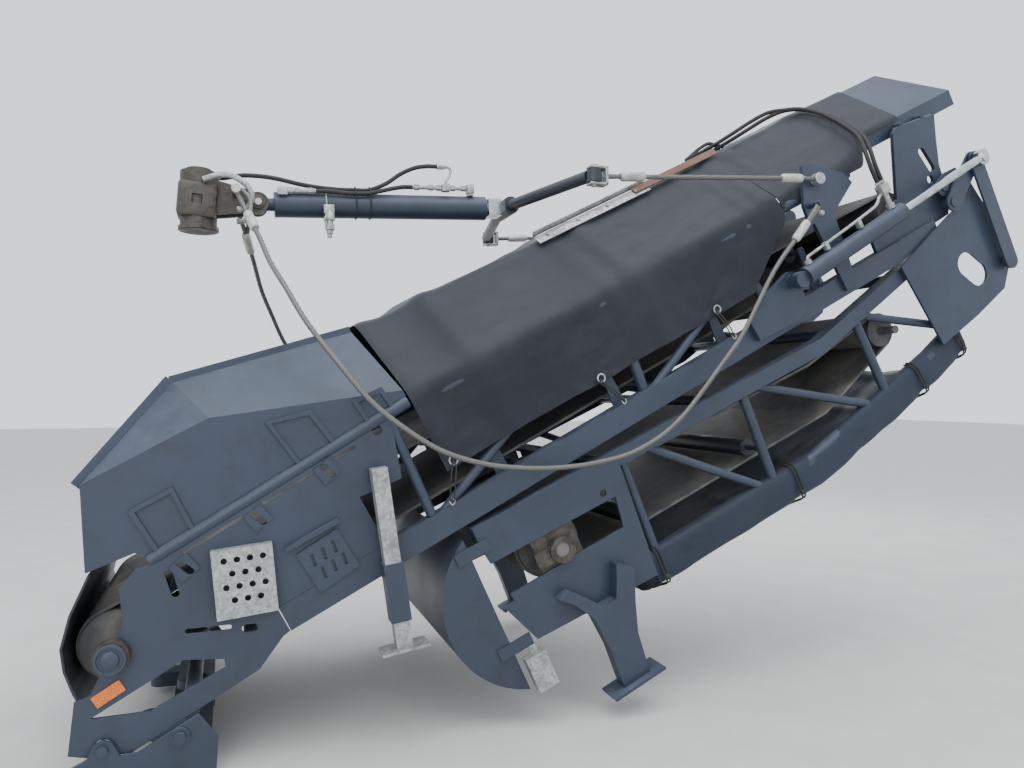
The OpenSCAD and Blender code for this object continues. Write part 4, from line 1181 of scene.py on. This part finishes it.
# Eyelets in the main tarp's hem, each with its elastic cord and hook on the rail
lashing = {
    "eyelets": ((-0.178, 0.168), (0.545, 0.160), (1.200, 0.170)),
    "hooks": ((-0.262, 0.020), (0.590, 0.018), (1.218, 0.018)),
    "eyeletY": 0.651,
    "hookY": 0.6535,
    "ring": 0.017,
    "ringBar": 0.008,
    "cord": 0.006,
    "cordApart": 0.008,
    "hook": [(-0.012, 0, 0.010), (0, 0.006, -0.004), (0.012, 0, 0.008), (0.006, 0, 0.020)],
    "hookBar": 0.005,
}
rings, cords, hooks = [], [], []
for side in (-1, 1):
    for (u, w), (hookU, hookW) in zip(lashing["eyelets"], lashing["hooks"]):
        centre = place("rail", u, side * lashing["eyeletY"], w)
        low = place("rail", hookU, side * lashing["hookY"], hookW)
        rings.append(
            ring(centre, lashing["ring"], lashing["ringBar"], Vector((1, 0, 0)), Vector((0, 0, 1)), 20)
        )
        for shift in (-lashing["cordApart"], lashing["cordApart"]):
            slide = Vector((shift, 0, 0))
            track = [
                centre + Vector((0, side * 0.004, -0.004)),
                centre + Vector((0, side * 0.010, -0.022)) + slide,
                (centre + low) / 2 + slide * 1.2 + Vector((0, side * 0.006, 0)),
                low + slide,
            ]
            cords.append(pipe(track, lashing["cord"], 8, 5))
        bent = [low + Vector((dx, side * dy, dz)) for dx, dy, dz in lashing["hook"]]
        hooks.append(pipe(bent, lashing["hookBar"], 8, 4))
joinedZinc(rings, "hemEyelets", "inner")
joined(cords, "elasticCords", "inner", hoseRubber)
joinedZinc(hooks, "cordHooks", "inner")
print("tarp is lashed down")

# Lashing straps round the sling's edges, doubled cord with a knot on the side
straps = {
    "cord": 0.008,
    "apart": 0.008,
    "track": [
        (0.596, 0.044), (0.630, 0.042), (0.6505, 0.016), (0.6515, -0.030), (0.6505, -0.080),
        (0.642, -drop - 0.006), (0.570, -0.155), (0.470, -0.196),
    ],
    "knotPlace": (0.654, -0.094),
    "knot": [(0, 0.006), (0.005, 0.011), (0.014, 0.013), (0.023, 0.011), (0.028, 0.006)],
    "knotHalf": 0.014,
}
cords, knots = [], []
for s in outerCover["straps"]:
    for side in (-1, 1):
        for shift in (-straps["apart"], straps["apart"]):
            at = s + shift
            track = [outerPlace(at, side * y, railDepth(at) + w) for y, w in straps["track"]]
            cords.append(pipe(track, straps["cord"], 8, 5))
        knotY, knotW = straps["knotPlace"]
        spot = outerPlace(s, side * knotY, railDepth(s) + knotW)
        knots.append(turnedPart(spot - Vector((straps["knotHalf"], 0, 0)), spot, straps["knot"], 12))
joined(cords + knots, "slingLashings", "outer", hoseRubber)

# Flanged bearing faces on the tail drum's shaft: rings of the pressed cover, painted with the frame
bearingCover = {
    "inset": 0.004,
    "profile": [
        (0, 0.050), (0.008, 0.052), (0.013, 0.050), (0.013, 0.042), (0.008, 0.040), (0.008, 0.030),
        (0.015, 0.028), (0.018, 0.022), (0.018, 0.008),
    ],
}
drumLow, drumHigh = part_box("tail_drum")
seatLow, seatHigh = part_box("tail_bearings")
middleX, middleZ = (drumLow[0] + drumHigh[0]) / 2, (drumLow[2] + drumHigh[2]) / 2
parts = []
for side, face in ((-1, seatLow[1]), (1, seatHigh[1])):
    start = Vector((middleX, face - side * bearingCover["inset"], middleZ))
    parts.append(turnedPart(start, start + Vector((0, side, 0)), bearingCover["profile"], 32))
joined(parts, "drumBearingCovers", "inner", slatePaint)

# Hexagon bolts with their washers where the rope anchors are bolted on
anchorBolts = {"places": ((1.988, 0.488), (1.917, 0.329)), "y": 0.670, "size": 0.014}
parts = []
for side in (-1, 1):
    for u, w in anchorBolts["places"]:
        spot = place("rail", u, side * anchorBolts["y"], w)
        parts += boltHead(spot, (0, side, 0), anchorBolts["size"])
joinedZinc(parts, "anchorBolts", "inner")
print("lashings, bearing covers and bolts are on")

stage = {"floor": 60, "floorAt": (2, 0), "under": 0.001, "sky": "dfe6ee", "skyStrength": 1.75}
bpy.ops.object.select_all(action="DESELECT")
floorZ = cadBox[0][2] - stage["under"]
bpy.ops.mesh.primitive_plane_add(size=stage["floor"], location=(*stage["floorAt"], floorZ))
floor = bpy.context.object
floor.name = "floor"
# power-floated concrete: matt, with cloudy patches of about 300 mm
floorSkin, floorShader = newMaterial("floatedConcrete", 0.85)
floorWhere = addNode(floorSkin, "TexCoord", out="Object")
floorTone = patches(floorSkin, floorWhere, 3, 5, 0.6, 0.3, 0.7)
plug(floorShader, {"Base Color": coloured(floorSkin, linear("cbc9c5"), (floorTone, "c2c0bc"))})
floor.data.materials.append(floorSkin)

world = bpy.context.scene.world or bpy.data.worlds.new("sky")
bpy.context.scene.world = world
world.use_nodes = True
background = world.node_tree.nodes.get("Background") or world.node_tree.nodes.new("ShaderNodeBackground")
plug(background, {"Color": linear(stage["sky"]), "Strength": stage["skyStrength"]})

lights = [
    # name, place, aimed at, size, watts
    ("overhead", (1.0, -2.0, 6.5), (1.8, 0, 1.0), 6.0, 330),
    ("front", (-2.5, -6.0, 3.0), (1.5, 0, 1.2), 4.0, 110),
    ("back", (5.5, 4.5, 4.0), (2.0, 0, 1.5), 4.0, 120),
]
for name, spot, target, size, watts in lights:
    bpy.ops.object.light_add(type="AREA", location=spot)
    lamp = bpy.context.object
    lamp.name = name
    lamp.data.size = size
    lamp.data.energy = watts
    lamp.rotation_euler = (Vector(target) - Vector(spot)).to_track_quat("-Z", "Y").to_euler()
print("floor and lights stand")
